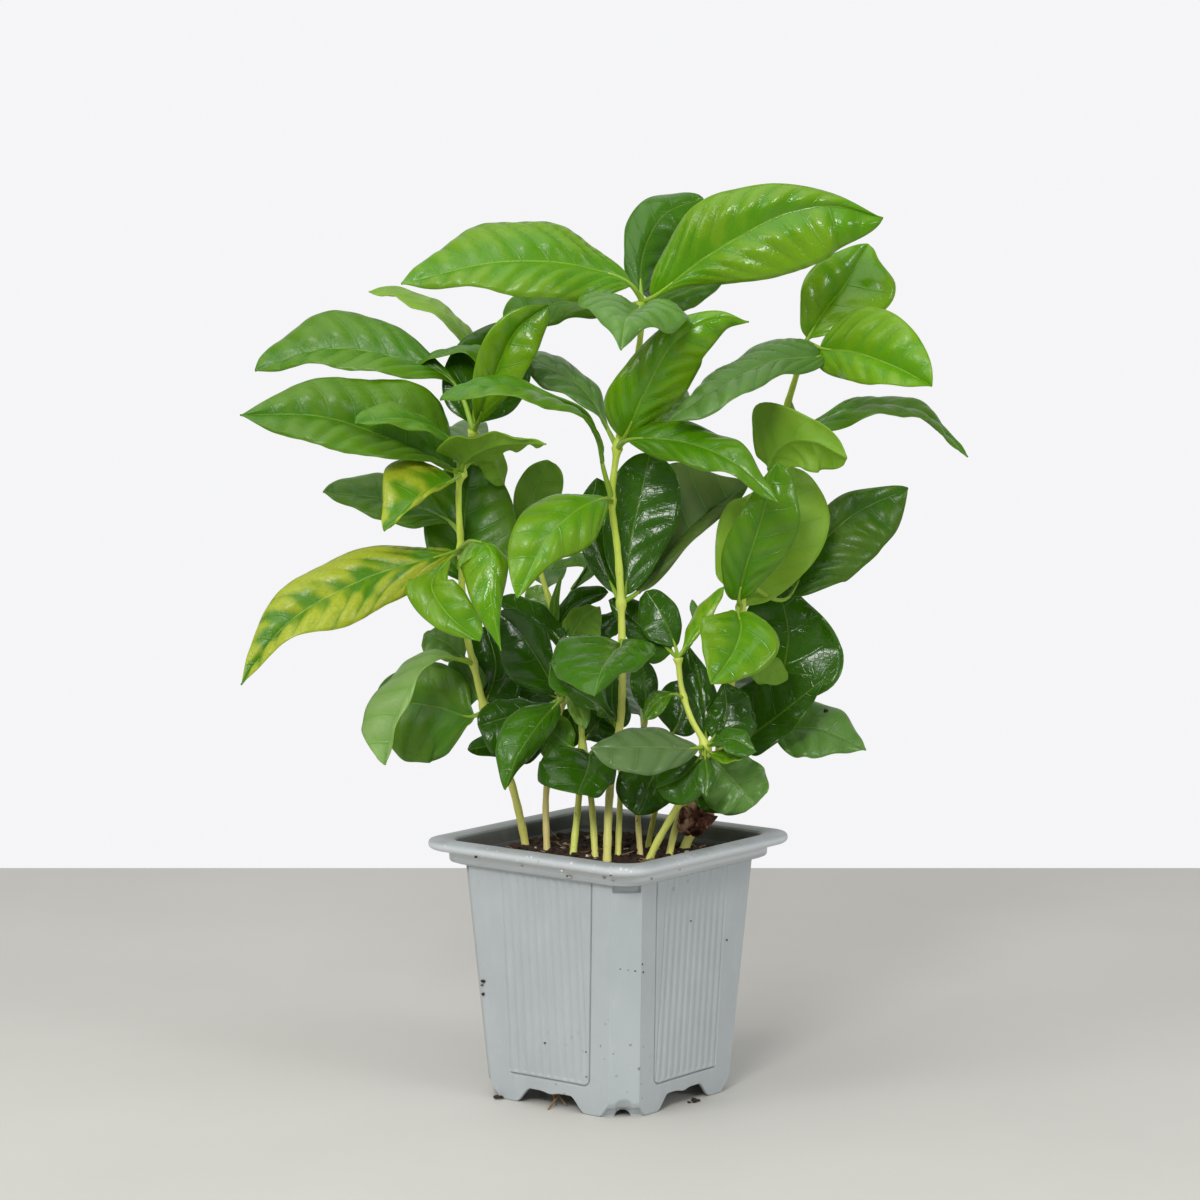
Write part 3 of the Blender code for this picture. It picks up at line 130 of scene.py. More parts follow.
# How finely a blade is divided; longer leaves than SMALL_LEAF get more columns
ROWS_PER_MM = 0.95
LEAST_ROWS = 26
MOST_ROWS = 76
LEAST_COLUMNS = 16
MOST_COLUMNS = 24
SMALL_LEAF = 34.0
RIB_CROWDING = 1.35

# A blade's relief: shares of its width, or millimetres
BLADE_HALF = 0.2
SWELL = 0.035
WAVE = 1.6
DENT = 0.03
RIPPLE = 0.008
CRUMPLE = 1.6
VEIN_PITCH = (8.0, 9.6)
VEIN_COUNT = (4.0, 9.0)
VEIN_BEND = 0.3
PILLOW = 0.14
PILLOW_REACH = 14.0
PILLOW_LENGTH = 75.0
FOOT_FADE = (0.0, 0.1)
RIB_GROOVE = 0.3
RIB_HALF = 0.55
RIB_RIDGE = 0.5
RIDGE_HALF = 0.8
SIDE_RIDGE = 0.13
LIGHT_SPREAD = 0.08

# The stems' swellings at their leaves, and the leaf stalks
NODE_SWELL = 0.35
STALK_RADII = (1.15, 0.9, 0.78, 0.3)
STALK_LEAF = 45.0

# Where the studio's soft lamps hang, in metres across, toward and above the pot's middle,
# with their side length, power and colour
LAMPS = (
    ("top", -0.25, 0.45, 1.45, 1.5, 12.0, (1.0, 0.99, 0.97)),
    ("left", -1.1, 0.75, 0.75, 0.45, 3.6, (1.0, 0.99, 0.97)),
    ("right", 1.1, 0.95, 0.6, 0.32, 4.6, (0.97, 0.98, 1.0)),
    ("front", -0.25, 1.1, 0.8, 0.3, 7.0, (1.0, 1.0, 1.0)),
)
LIT_POINT = (0.0, 0.0, 0.15)
FLOOR_HALF = 408.0

# How far the foot of each stem has turned from green to beige
BEIGE = {"low_left": 1.0, "low_back": 0.9, "centre": 0.5, "left": 0.4, "low_middle": 0.0, "front": 0.1}

# Roots that hang out under the pot's front left arch: x, y in the photograph and height
ROOTS = (
    ((560, 1086, 4.5), (558, 1096, 3.2), (553, 1103, 1.4), (548, 1109, 0.4)),
    ((556, 1086, 4.5), (561, 1098, 2.4), (566, 1105, 0.6)),
    ((548, 1085, 4.5), (553, 1094, 3.0), (556, 1104, 0.7)),
)

# Lumps of peat on the soil, and crumbs that fell out under the pot: x, y in the photograph, height
# and size
LOOSE_CRUMBS = (
    (615, 846, 80.4, 3.2), (606, 851, 80.0, 2.2), (633, 850, 80.0, 2.0), (497, 1097, 0.9, 1.0),
    (501, 1097, 0.7, 0.8), (694, 1100, 0.9, 1.1), (698, 1100, 0.7, 0.8), (689, 1102, 0.5, 0.6),
)

# Crumbs that stick to the pot: x and y in the photograph, the face's direction, how far that
# face lies from the middle, and the crumb's size
LEFT_FACE = np.array([0.0, -1.0, 0.0])
RIGHT_FACE = np.array([1.0, 0.0, 0.0])
FRONT_CORNER = (LEFT_FACE + RIGHT_FACE) / math.sqrt(2.0)
WHITE_SPECKS = (
    (488, 849, LEFT_FACE, 43.8, 0.5), (483, 857, LEFT_FACE, 44.2, 0.6), (522, 866, LEFT_FACE, 39.8, 0.55),
    (539, 861, LEFT_FACE, 44.7, 0.7), (535, 860, LEFT_FACE, 44.6, 0.45), (562, 871, LEFT_FACE, 44.4, 0.6),
    (570, 877, LEFT_FACE, 39.8, 0.9), (604, 878, LEFT_FACE, 39.8, 0.7), (613, 881, LEFT_FACE, 39.6, 0.5),
    (652, 879, RIGHT_FACE, 39.8, 0.6), (680, 870, RIGHT_FACE, 39.8, 0.35),
)
BROWN_SPECKS = (
    (476, 857, LEFT_FACE, 44.5, 0.6), (567, 876, LEFT_FACE, 39.7, 0.45), (611, 875, LEFT_FACE, 44.2, 0.5),
    (483, 981, LEFT_FACE, 34.3, 0.8), (482, 985, LEFT_FACE, 34.3, 0.5), (483, 994, LEFT_FACE, 34.0, 0.7),
    (545, 1043, LEFT_FACE, 32.6, 0.5), (642, 964, RIGHT_FACE, 34.8, 0.4), (643, 972, RIGHT_FACE, 34.6, 0.5),
    (826, 711, TOWARD, -31.6, 1.1), (620, 969, FRONT_CORNER, 44.1, 0.3), (628, 970, FRONT_CORNER, 44.1, 0.22),
    (635, 971, FRONT_CORNER, 44.1, 0.3),
    (586, 1052, LEFT_FACE, 32.4, 0.4), (691, 921, RIGHT_FACE, 35.8, 0.35), (727, 940, RIGHT_FACE, 35.4, 0.4),
)

Stem = namedtuple("Stem", "foot_radius top_radius route")
Leaf = namedtuple("Leaf", "plant form shade wave rib edge_a edge_b")
Frame = namedtuple("Frame", "length blade_length places line arms widths normal")

# Each stem starts on the soil, where two numbers are enough.
STEMS = {
    "left": Stem(1.6, 0.95, [
        (526, 849), (512, 785, -14), (484, 707, -8), (474, 666, -5), (466, 632, -4),
        (461, 550, 0), (461, 472, 2), (474, 431, 3)]),
    "centre": Stem(1.6, 1.0, [
        (607, 861), (610, 790, 3), (621, 715, 4), (622, 640, 5), (617, 545, 5),
        (612, 505, 5), (617, 450, 4), (640, 340, 0), (643, 302, 0)]),
    "right": Stem(1.9, 1.0, [
        (684, 850), (692, 831, -14), (712, 780, -13), (728, 700, -9), (738, 640, -5),
        (741, 606, 0), (760, 530, -6), (780, 430, -12), (797, 373, -15), (806, 342, -16)]),
    "front": Stem(1.6, 0.9, [
        (649, 861), (679, 803, 10), (705, 747, 16), (690, 716, 14), (681, 685, 11),
        (678, 658, 10)]),
    "low_left": Stem(1.5, 0.9, [
        (547, 851), (546, 796, -14), (553, 745, -12), (563, 697, -8)]),
    "low_middle": Stem(1.5, 0.9, [
        (573, 857), (579, 796, -6), (582, 740, -10), (578, 680, -14), (576, 640, -18)]),
    "tall_back": Stem(1.3, 0.9, [
        (595, 857), (591, 797, -9), (575, 700, -24), (552, 610, -32), (532, 545, -36)]),
    "low_front": Stem(1.3, 0.9, [
        (618, 857), (620, 800, -9), (622, 735, -9)]),
    "thin_back": Stem(1.2, 0.8, [
        (648, 846), (654, 817, -18), (664, 775, -15), (668, 740, -14)]),
    "low_back": Stem(1.3, 0.8, [
        (640, 854), (638, 815, -14), (640, 760, -20), (645, 720, -26)]),
    "low_right": Stem(1.5, 0.9, [
        (669, 857), (673, 838, -4), (684, 806, -13), (706, 775, -20), (735, 745, -24), (752, 715, -28),
        (768, 680, -32)]),
}

# Each rib runs from its stem to the foot of the blade and on to the tip.
# The two edges are given where each half of the blade is widest.
LEAVES = {
    "crown_left": Leaf("centre", "long", "bright", 0.6, [
        (643, 303, 0), (631, 285, 4), (584, 267, 10), (504, 262, 16), (401, 284, 18)],
        [(590, 243, 0), (520, 220, 2), (455, 238, 6)],
        [(605, 296, 12), (541, 299, 24), (470, 288, 24)]),
    "crown_right": Leaf("centre", "long", "lit", 0.6, [
        (643, 302, 1), (652, 298, 6), (700, 261, 14), (744, 234, 19), (784, 214, 21), (829, 206, 22),
        (883, 218, 20)],
        [(671, 243, 8), (682, 219, 10), (700, 201, 12), (731, 187, 15), (775, 183, 18), (829, 191, 20),
        (858, 203, 21)],
        [(673, 290, 10), (704, 286, 15), (735, 284, 19), (770, 280, 22), (800, 270, 24), (829, 258, 24),
        (856, 244, 23)]),
    "crown_back": Leaf("centre", "broad", "deep", 0.5, [
        (643, 302, -2), (641, 292, -6), (643, 255, -14), (664, 215, -22), (703, 198, -30)],
        [(624, 246, -16), (632, 212, -22)], [(690, 250, -26)]),
    "crown_forward": Leaf("centre", "broad", "sheen", 0.6, [
        (643, 304, 2), (641, 307, 10), (633, 312, 34), (625, 324, 50), (621, 350, 58)],
        [(585, 297, 22), (577, 299, 30), (595, 319, 44), (612, 332, 53)],
        [(678, 306, 20), (692, 317, 28), (669, 332, 42), (636, 334, 52)]),
    "crown_under_left": Leaf("centre", "broad", "mid", 0.5, [
        (643, 303, -2), (625, 306, -8), (562, 302, -22), (503, 322, -30)],
        [(575, 286, -26), (535, 285, -32), (509, 298, -34)],
        [(580, 318, -14), (557, 323, -18), (535, 331, -22)]),
    "crown_under_right": Leaf("centre", "broad", "mid", 0.4, [
        (643, 302, 0), (652, 303, -4), (690, 290, -12), (724, 280, -18)],
        [(690, 268, -22)], [(684, 312, -10)]),
    "second_upright": Leaf("centre", "long", "lit", 0.5, [
        (618, 448, 5), (624, 438, 8), (645, 392, 18), (684, 334, 24), (724, 318, 24), (749, 322, 24)],
        [(603, 412, 10), (619, 373, 16), (665, 326, 20)],
        [(662, 419, 12), (690, 385, 16), (716, 342, 22)]),
    "second_right": Leaf("centre", "long", "fresh", 0.7, [
        (618, 448, 6), (628, 440, 14), (687, 443, 28), (733, 462, 38), (779, 503, 44)],
        [(655, 421, 14), (707, 430, 24), (755, 458, 36)],
        [(650, 455, 22), (692, 467, 36), (745, 483, 44)]),
    "second_left": Leaf("centre", "long", "sheen", 0.5, [
        (618, 448, 3), (608, 430, -1), (585, 392, -9), (545, 364, -16), (500, 350, -22)],
        [(590, 378, -16), (560, 360, -24), (525, 348, -28)],
        [(595, 414, -2), (560, 395, -6), (530, 378, -12)]),
    "shoot_left": Leaf("centre", "long", "mid", 0.4, [
        (612, 500, 5), (602, 462, 11), (599, 444, 14), (585, 418, 20), (545, 396, 28),
        (490, 387, 35), (440, 400, 37)],
        [(593, 420, 19), (556, 396, 26), (480, 376, 28)],
        [(566, 412, 36), (533, 404, 46), (465, 398, 46)]),
    "third_left": Leaf("centre", "long", "bright", 0.5, [
        (612, 502, 6), (608, 499, 10), (585, 505, 22), (550, 535, 32), (517, 598, 38)],
        [(565, 496, 16), (527, 508, 26), (509, 545, 34)],
        [(600, 530, 20), (578, 554, 28), (538, 576, 36)]),
    "middle_upright": Leaf("centre", "broad", "dark", 0.3, [
        (622, 602, 4), (624, 595, 1), (631, 540, -6), (642, 490, -10), (650, 453, -12)],
        [(606, 500, -8)], [(664, 552, -6), (680, 490, -8)]),
    "middle_olive": Leaf("centre", "long", "olive", 0.3, [
        (622, 602, 3), (638, 592, -4), (672, 548, -14), (710, 512, -22), (749, 484, -28)],
        [(650, 500, -18), (664, 462, -22), (695, 464, -26), (728, 474, -29)],
        [(652, 587, -8), (679, 557, -10), (700, 533, -13), (736, 505, -24)]),
    "middle_left": Leaf("centre", "broad", "dark", 0.3, [
        (622, 602, 3), (615, 592, 0), (600, 555, -8), (590, 515, -14), (597, 478, -18)],
        [(578, 540, -14)], [(620, 520, -16)]),
    "middle_forward": Leaf("centre", "broad", "deep", 0.5, [
        (621, 640, 6), (622, 645, 14), (612, 655, 34), (600, 675, 52), (594, 696, 58)],
        [(605, 634, 10), (588, 634, 16), (571, 637, 20), (558, 646, 27), (551, 660, 35), (554, 675, 42),
        (570, 689, 52)],
        [(628, 638, 10), (641, 635, 16), (653, 640, 21), (656, 649, 27), (650, 661, 35), (632, 671, 44),
        (613, 681, 52)]),
    "top_left": Leaf("left", "long", "mid", 0.5, [
        (474, 431, 3), (455, 385, -2), (388, 356, -4), (330, 349, -4), (255, 371, -4)],
        [(440, 362, -5), (425, 347, -9), (408, 335, -11), (389, 323, -12), (371, 315, -13), (344, 312, -13),
        (318, 316, -12), (288, 333, -11)],
        [(430, 379, 4), (352, 370, 8), (290, 367, 4)]),
    "wide_left": Leaf("left", "long", "mid", 0.5, [
        (461, 474, 3), (452, 470, 5), (391, 440, 14), (322, 417, 20), (240, 415, 24)],
        [(457, 428, 2), (441, 402, 5), (425, 390, 6), (404, 381, 6), (380, 378, 7), (329, 380, 12),
        (288, 385, 16)],
        [(440, 463, 14), (380, 460, 30), (290, 437, 32)]),
    "small_left": Leaf("left", "long", "mid", 0.4, [
        (461, 474, 6), (452, 441, 16), (405, 419, 28), (355, 423, 32)],
        [(420, 415, 22), (398, 405, 24), (378, 403, 26)],
        [(425, 432, 30), (400, 428, 32), (380, 424, 34)]),
    "curled_left": Leaf("left", "long", "bright", 0.3, [
        (474, 431, 1), (474, 368, -15), (468, 342, -18), (452, 321, -24), (426, 303, -32),
        (396, 292, -40), (369, 292, -44)],
        [(468, 326, -32), (442, 303, -42), (412, 290, -48), (385, 285, -52)],
        [(452, 330, -14), (434, 316, -20), (408, 305, -26), (388, 296, -34)]),
    "needle_left": Leaf("left", "long", "mid", 0.2, [
        (474, 431, 4), (492, 385, 3), (478, 352, 0), (440, 354, -5), (405, 370, -8)],
        [(447, 351, -13)],
        [(447, 355, 3)]),
    "upright_left": Leaf("left", "long", "lit", 0.3, [
        (474, 431, 4), (477, 424, 7), (493, 380, 14), (520, 326, 18), (548, 305, 18)],
        [(482, 343, 20)], [(533, 360, 20)]),
    "upright_left_back": Leaf("left", "broad", "dark", 0.3, [
        (474, 431, 2), (473, 424, -1), (483, 385, -8), (500, 345, -14), (512, 322, -18)],
        [(445, 366, -6)], [(528, 388, -6)]),
    "forward_left": Leaf("left", "broad", "bright", 0.6, [
        (461, 474, 4), (464, 463, 10), (484, 449, 26), (515, 443, 42), (546, 444, 52)],
        [(436, 447, 20), (448, 440, 26), (480, 435, 36), (512, 435, 46)],
        [(482, 462, 14), (502, 455, 22), (526, 448, 36)]),
    "drooping_left": Leaf("left", "broad", "bright", 0.3, [
        (461, 474, 1), (470, 463, -3), (492, 460, -12), (504, 485, -18)],
        [(499, 447, -14)], [(483, 473, -14)]),
    "mottled_small": Leaf("left", "broad", "mottled", 0.4, [
        (461, 476, 6), (453, 480, 12), (420, 495, 24), (384, 531, 32)],
        [(430, 463, 12), (405, 461, 15), (386, 463, 19), (383, 485, 25), (383, 508, 29)],
        [(445, 487, 17), (425, 499, 25), (405, 514, 29)]),
    "low_left_far": Leaf("left", "long", "mid", 0.4, [
        (462, 530, -3), (450, 522, -7), (399, 502, -18), (323, 492, -26)],
        [(372, 474, -30)], [(385, 522, -10)]),
    "behind_left": Leaf("left", "broad", "mid", 0.4, [
        (462, 592, -3), (463, 582, -8), (464, 530, -18), (470, 475, -26), (478, 445, -28)],
        [(424, 520, -16)], [(516, 528, -16)]),
    "mottled_long": Leaf("left", "long", "mottled", 0.6, [
        (461, 553, 3), (455, 552, 7), (362, 580, 18), (281, 630, 27), (241, 685, 31)],
        [(415, 547, 6), (349, 552, 12), (265, 610, 22)],
        [(415, 590, 16), (352, 626, 29), (262, 659, 34)]),
    "hanging_left": Leaf("left", "broad", "bright", 0.4, [
        (461, 553, 4), (449, 560, 12), (432, 585, 18), (446, 612, 24), (480, 641, 28)],
        [(415, 565, 12), (405, 583, 16), (414, 607, 20)], [(463, 590, 24)]),
    "hanging_right": Leaf("left", "long", "lit", 0.4, [
        (461, 552, 5), (474, 541, 18), (490, 549, 30), (491, 598, 37), (501, 651, 38)],
        [(457, 565, 28), (470, 599, 34)], [(505, 555, 26), (502, 600, 34)]),
    "pale_low": Leaf("left", "round", "pale", 0.8, [
        (469, 662, -6), (464, 658, -8), (447, 643, -14), (424, 634, -18)],
        [(467, 634, -10), (451, 622, -16), (437, 622, -18), (425, 629, -20)],
        [(443, 660, -10), (427, 657, -14), (417, 650, -18)]),
    "hanging_low": Leaf("left", "long", "lit_sheen", 0.4, [
        (470, 664, -4), (457, 659, 2), (440, 658, 7), (425, 667, 11), (409, 690, 14), (395, 722, 15),
        (385, 765, 16)],
        [(436, 646, 4), (413, 661, 3), (388, 682, 6), (370, 703, 9), (361, 723, 11), (361, 741, 13),
        (372, 752, 15)],
        [(421, 672, 13), (416, 690, 16), (406, 706, 18), (397, 726, 19), (391, 746, 18)]),
    "round_low": Leaf("left", "round", "mid", 0.3, [
        (481, 712, -8), (474, 716, -10), (442, 708, -17), (408, 703, -22), (376, 706, -25)],
        [(468, 690, -13), (452, 668, -18), (430, 661, -22), (408, 668, -24)],
        [(473, 730, -9), (458, 750, -12), (440, 760, -15), (420, 762, -17), (400, 755, -20)]),
    "streaky_low": Leaf("left", "broad", "sheen", 0.3, [
        (481, 705, -8), (478, 698, -14), (467, 678, -20), (452, 655, -24)],
        [(458, 704, -20), (445, 680, -24)],
        [(484, 672, -18)]),
    "grey_low": Leaf("left", "broad", "dark", 0.3, [
        (482, 710, -7), (486, 702, -12), (496, 668, -20), (486, 626, -26)],
        [(474, 690, -18), (470, 658, -23)],
        [(520, 694, -15), (519, 668, -20), (510, 642, -24)]),
    "tip_left": Leaf("right", "broad", "lit", 0.4, [
        (806, 342, -16), (808, 338, -16), (824, 312, -18), (847, 282, -20), (868, 244, -24)],
        [(801, 315, -14), (803, 280, -16), (830, 255, -20)],
        [(868, 318, -13), (888, 309, -15), (896, 291, -17), (893, 274, -19), (881, 254, -22)]),
    "tip_right": Leaf("right", "broad", "bright", 0.4, [
        (806, 342, -14), (820, 348, -8), (853, 352, 4), (893, 366, 15), (932, 386, 22)],
        [(848, 313, -3), (885, 309, 8), (918, 335, 17)],
        [(840, 378, 3), (875, 385, 18), (910, 387, 25)]),
    "tip_forward": Leaf("right", "long", "sheen", 0.5, [
        (806, 342, -14), (822, 352, -10), (770, 362, 8), (715, 390, 22), (669, 421, 30)],
        [(800, 338, -10), (743, 356, 2), (690, 396, 18)],
        [(815, 371, 2), (765, 381, 22), (705, 414, 34)]),
    "folded_right": Leaf("right", "broad", "bright", 0.3, [
        (777, 450, -12), (769, 469, -8), (776, 453, -2), (791, 441, 4), (814, 441, 9), (847, 458, 11)],
        [(757, 444, -7), (755, 418, -6), (758, 398, -3), (778, 394, 1), (800, 409, 4), (824, 425, 8),
        (841, 438, 10)],
        [(786, 471, 3), (804, 473, 8)]),
    "far_right": Leaf("right", "long", "mid", 0.5, [
        (788, 402, -14), (802, 424, -16), (850, 410, -16), (905, 410, -16), (968, 457, -14)],
        [(840, 404, -20), (880, 398, -28), (930, 408, -22)],
        [(840, 428, -8), (880, 415, -4), (935, 428, -6)]),
    "lower_right": Leaf("right", "long", "dull", 0.4, [
        (746, 585, -3), (790, 596, -20), (809, 560, -24), (850, 517, -28), (908, 488, -30)],
        [(812, 525, -26), (840, 495, -30), (880, 487, -30)],
        [(815, 598, -18), (838, 586, -20), (860, 569, -22), (882, 546, -24), (901, 520, -28)]),
    "backlit_right": Leaf("right", "broad", "yellow", 0.4, [
        (741, 608, -2), (744, 606, -8), (766, 560, -14), (788, 510, -18), (791, 467, -20)],
        [(717, 562, -8), (716, 540, -10), (749, 493, -16)],
        [(800, 578, -10), (829, 530, -14), (818, 486, -20)]),
    "upright_right": Leaf("right", "broad", "fresh", 0.3, [
        (741, 608, 0), (739, 600, 6), (746, 567, 12), (758, 530, 16), (777, 463, 16)],
        [(723, 583, 10), (722, 548, 14), (757, 487, 16)],
        [(765, 581, 12), (801, 525, 16), (797, 495, 16)]),
    "hanging_bright": Leaf("right", "broad", "lit", 0.3, [
        (741, 608, 2), (738, 613, 9), (741, 627, 15), (736, 647, 21), (724, 667, 27), (711, 684, 31)],
        [(722, 601, 9), (708, 608, 14), (701, 625, 20), (702, 644, 25), (706, 663, 29)],
        [(756, 616, 12), (770, 624, 15), (779, 637, 18), (779, 651, 20), (770, 664, 23), (748, 677, 27),
        (730, 683, 30)]),
    "withered": Leaf("right", "round", "dried", 1.1, [
        (693, 832, -14), (703, 806, -9), (696, 817, -4), (684, 831, -1)],
        [(681, 812, -2)], [(709, 827, -2)]),
    "low_point_right": Leaf("right", "broad", "mid", 0.3, [
        (736, 650, -6), (745, 655, -8), (765, 668, -8), (787, 680, -6)],
        [(772, 655, -14)], [(756, 682, -2)]),
    "tip_shoot": Leaf("front", "long", "yellow", 0.2, [
        (678, 658, 10), (682, 652, 10), (702, 618, 7), (724, 587, 4)],
        [(695, 612, 2)], [(710, 620, 8)]),
    "glossy_up_left": Leaf("front", "broad", "dark", 0.3, [
        (678, 658, 10), (671, 652, 6), (643, 628, -6), (609, 600, -11)],
        [(654, 612, -8), (630, 598, -13)],
        [(660, 668, 5), (638, 652, -2), (620, 626, -8)]),
    "glossy_up": Leaf("front", "round", "dark", 0.3, [
        (678, 658, 9), (675, 645, 5), (662, 615, 1), (646, 591, -2)],
        [(650, 640, 4), (638, 618, -1), (636, 600, -3)],
        [(681, 642, 3), (682, 624, 1), (677, 606, -1), (665, 594, -3)]),
    "wavy_pale": Leaf("front", "broad", "dark", 1.1, [
        (706, 746, 11), (713, 738, 8), (726, 712, 4), (724, 682, 1)],
        [(708, 712, 5)],
        [(751, 737, 5), (755, 718, 4), (748, 700, 3), (738, 687, 2)]),
    "tiny_dark": Leaf("front", "long", "sheen", 0.1, [
        (678, 658, 9), (696, 634, 1), (698, 616, -4), (692, 600, -8)],
        [(690, 610, -6)],
        [(700, 612, -4)]),
    "glossy_left": Leaf("front", "long", "bluish", 0.3, [
        (705, 747, 16), (699, 748, 20), (650, 747, 34), (591, 748, 44)],
        [(645, 727, 26)], [(645, 775, 42)]),
    "small_front_right": Leaf("front", "long", "deep", 0.3, [
        (705, 747, 16), (711, 744, 19), (732, 739, 23), (756, 752, 26)],
        [(731, 727, 18)], [(728, 753, 29)]),
    "small_front_lit": Leaf("front", "long", "lit", 0.2, [
        (705, 749, 16), (711, 753, 19), (728, 757, 23), (746, 755, 25)],
        [(729, 749, 20)], [(727, 763, 27)]),
    "small_front_down": Leaf("front", "long", "deep", 0.2, [
        (705, 749, 18), (705, 756, 23), (707, 775, 31), (706, 797, 34)],
        [(697, 776, 31)], [(715, 773, 29)]),
    "low_front_left": Leaf("front", "broad", "deep", 0.3, [
        (705, 750, 15), (699, 758, 18), (680, 778, 23), (656, 788, 25)],
        [(668, 758, 20)], [(694, 801, 25)]),
    "wavy_round": Leaf("front", "round", "sheen", 1.6, [
        (705, 750, 13), (712, 757, 12), (735, 782, 12), (756, 804, 12)],
        [(763, 768, 10)], [(709, 806, 14)]),
    "wavy_fringe": Leaf("front", "round", "deep", 1.4, [
        (704, 752, 13), (706, 764, 9), (716, 792, 4), (722, 813, 3)],
        [(694, 775, 8), (691, 794, 4), (700, 808, 3)],
        [(730, 770, 2), (742, 790, 0), (737, 807, 0)]),
    "small_bright": Leaf("front", "long", "fresh", 0.2, [
        (684, 699, 12), (673, 694, 16), (656, 703, 20), (644, 719, 22)],
        [(650, 695, 18)], [(662, 713, 22)]),
    "upright_dark": Leaf("front", "long", "dark", 0.2, [
        (704, 744, 13), (706, 737, 7), (702, 692, 0), (688, 645, -4)],
        [(682, 692, -2)], [(718, 698, -2)]),
    "curled_round": Leaf("front", "round", "dark", 0.5, [
        (706, 745, 12), (720, 742, 8), (735, 728, 4), (749, 707, 0)],
        [(721, 716, 4)], [(751, 738, 4)]),
    "drooping_stub": Leaf("low_left", "long", "pale", 0.2, [
        (563, 697, -7), (568, 695, 0), (578, 708, 6), (585, 729, 8)],
        [(569, 712, 7)], [(589, 707, 5)]),
    "hanging_pair_front": Leaf("low_left", "long", "deep", 0.3, [
        (563, 698, -8), (558, 703, 1), (545, 716, 9), (531, 735, 16), (518, 755, 21), (505, 790, 23)],
        [(532, 705, 6), (512, 713, 12), (498, 735, 16), (496, 752, 19), (499, 770, 21)],
        [(563, 712, 3), (556, 727, 6), (542, 744, 10), (528, 761, 15), (515, 776, 20)]),
    "hanging_pair_back": Leaf("low_left", "broad", "dark", 0.4, [
        (563, 698, -9), (550, 704, -6), (508, 717, 0), (478, 726, 2)],
        [(540, 702, -7), (512, 697, -6), (492, 701, -4), (481, 710, -1)],
        [(484, 746, 4), (498, 762, 6), (520, 765, 6), (537, 758, 4)]),
    "glossy_low_left": Leaf("low_left", "broad", "dark", 0.3, [
        (563, 698, -8), (556, 690, -4), (535, 655, 0), (513, 625, 2), (498, 612, 3)],
        [(554, 664, -1), (551, 641, 0), (545, 626, 1), (531, 614, 3), (515, 609, 4)],
        [(541, 693, 0), (522, 688, 1), (507, 675, 2), (500, 655, 3)]),
    "small_low": Leaf("low_left", "broad", "dark", 0.3, [
        (556, 721, -10), (545, 726, -15), (505, 742, -16), (468, 750, -15)],
        [(500, 728, -17), (484, 734, -16)],
        [(512, 757, -19), (487, 756, -18)]),
    "dark_gap": Leaf("low_left", "broad", "dark", 0.2, [
        (563, 700, -12), (555, 697, -16), (534, 692, -19), (516, 688, -22)],
        [(536, 680, -20)],
        [(534, 706, -16)]),
    "round_front": Leaf("low_middle", "round", "dark", 0.8, [
        (581, 768, -8), (588, 754, -3), (588, 768, 10), (578, 794, 22)],
        [(566, 747, 2), (547, 750, 7), (539, 765, 11), (540, 784, 15), (552, 797, 19)],
        [(604, 749, 2), (614, 757, 6), (617, 772, 10), (611, 786, 15), (597, 795, 20)]),
    "arched_dark": Leaf("low_middle", "broad", "dark", 0.3, [
        (577, 655, -17), (564, 640, -20), (563, 618, -25), (581, 600, -29), (608, 592, -32)],
        [(559, 606, -27), (571, 592, -30), (584, 586, -32), (598, 586, -33)],
        [(576, 614, -24), (594, 604, -28)]),
    "lit_glimpse": Leaf("low_middle", "broad", "mid", 0.4, [
        (576, 642, -18), (573, 637, -20), (581, 622, -22), (600, 607, -25)],
        [(566, 616, -22), (580, 606, -25)],
        [(592, 636, -17), (602, 622, -20)]),
    "gloss_glimpse": Leaf("low_middle", "broad", "dark", 0.3, [
        (577, 652, -17), (588, 646, -22), (604, 628, -27), (621, 612, -31)],
        [(592, 622, -28)],
        [(606, 642, -22), (620, 630, -26)]),
    "left_of_spike": Leaf("low_middle", "broad", "dark", 0.3, [
        (577, 655, -18), (566, 646, -18), (533, 618, -16), (496, 600, -14)],
        [(545, 607, -20), (522, 597, -19), (505, 594, -17)],
        [(545, 636, -12), (515, 622, -11)]),
    "spike": Leaf("low_middle", "long", "mid", 0.1, [
        (576, 642, -18), (557, 640, -22), (554, 606, -25), (563, 569, -27)],
        [(548, 622, -24)],
        [(559, 624, -23)]),
    "dark_centre": Leaf("low_middle", "broad", "dark", 0.4, [
        (581, 745, -9), (586, 738, -12), (600, 720, -16), (612, 704, -20)],
        [(577, 712, -15)],
        [(618, 736, -14)]),
    "dark_under": Leaf("low_middle", "broad", "mid", 0.3, [
        (580, 752, -9), (573, 748, -6), (553, 732, -5), (535, 718, -6)],
        [(566, 718, -7)],
        [(545, 758, -3)]),
    "notched_back": Leaf("tall_back", "broad", "mid", 0.4, [
        (532, 546, -36), (530, 536, -37), (533, 500, -40), (548, 460, -44)],
        [(515, 490, -38)], [(563, 488, -38)]),
    "grey_back": Leaf("tall_back", "broad", "sheen", 0.4, [
        (556, 622, -31), (572, 590, -34), (585, 568, -38), (552, 568, -44)],
        [(575, 555, -44)], [(578, 579, -34)]),
    "inner_dark": Leaf("tall_back", "broad", "dark", 0.3, [
        (575, 702, -24), (572, 710, -27), (563, 730, -31), (552, 752, -34)],
        [(548, 722, -30)],
        [(583, 738, -32)]),
    "pale_back": Leaf("tall_back", "round", "pale", 0.4, [
        (555, 620, -31), (545, 622, -34), (541, 605, -36), (538, 585, -38)],
        [(525, 602, -36)], [(554, 603, -36)]),
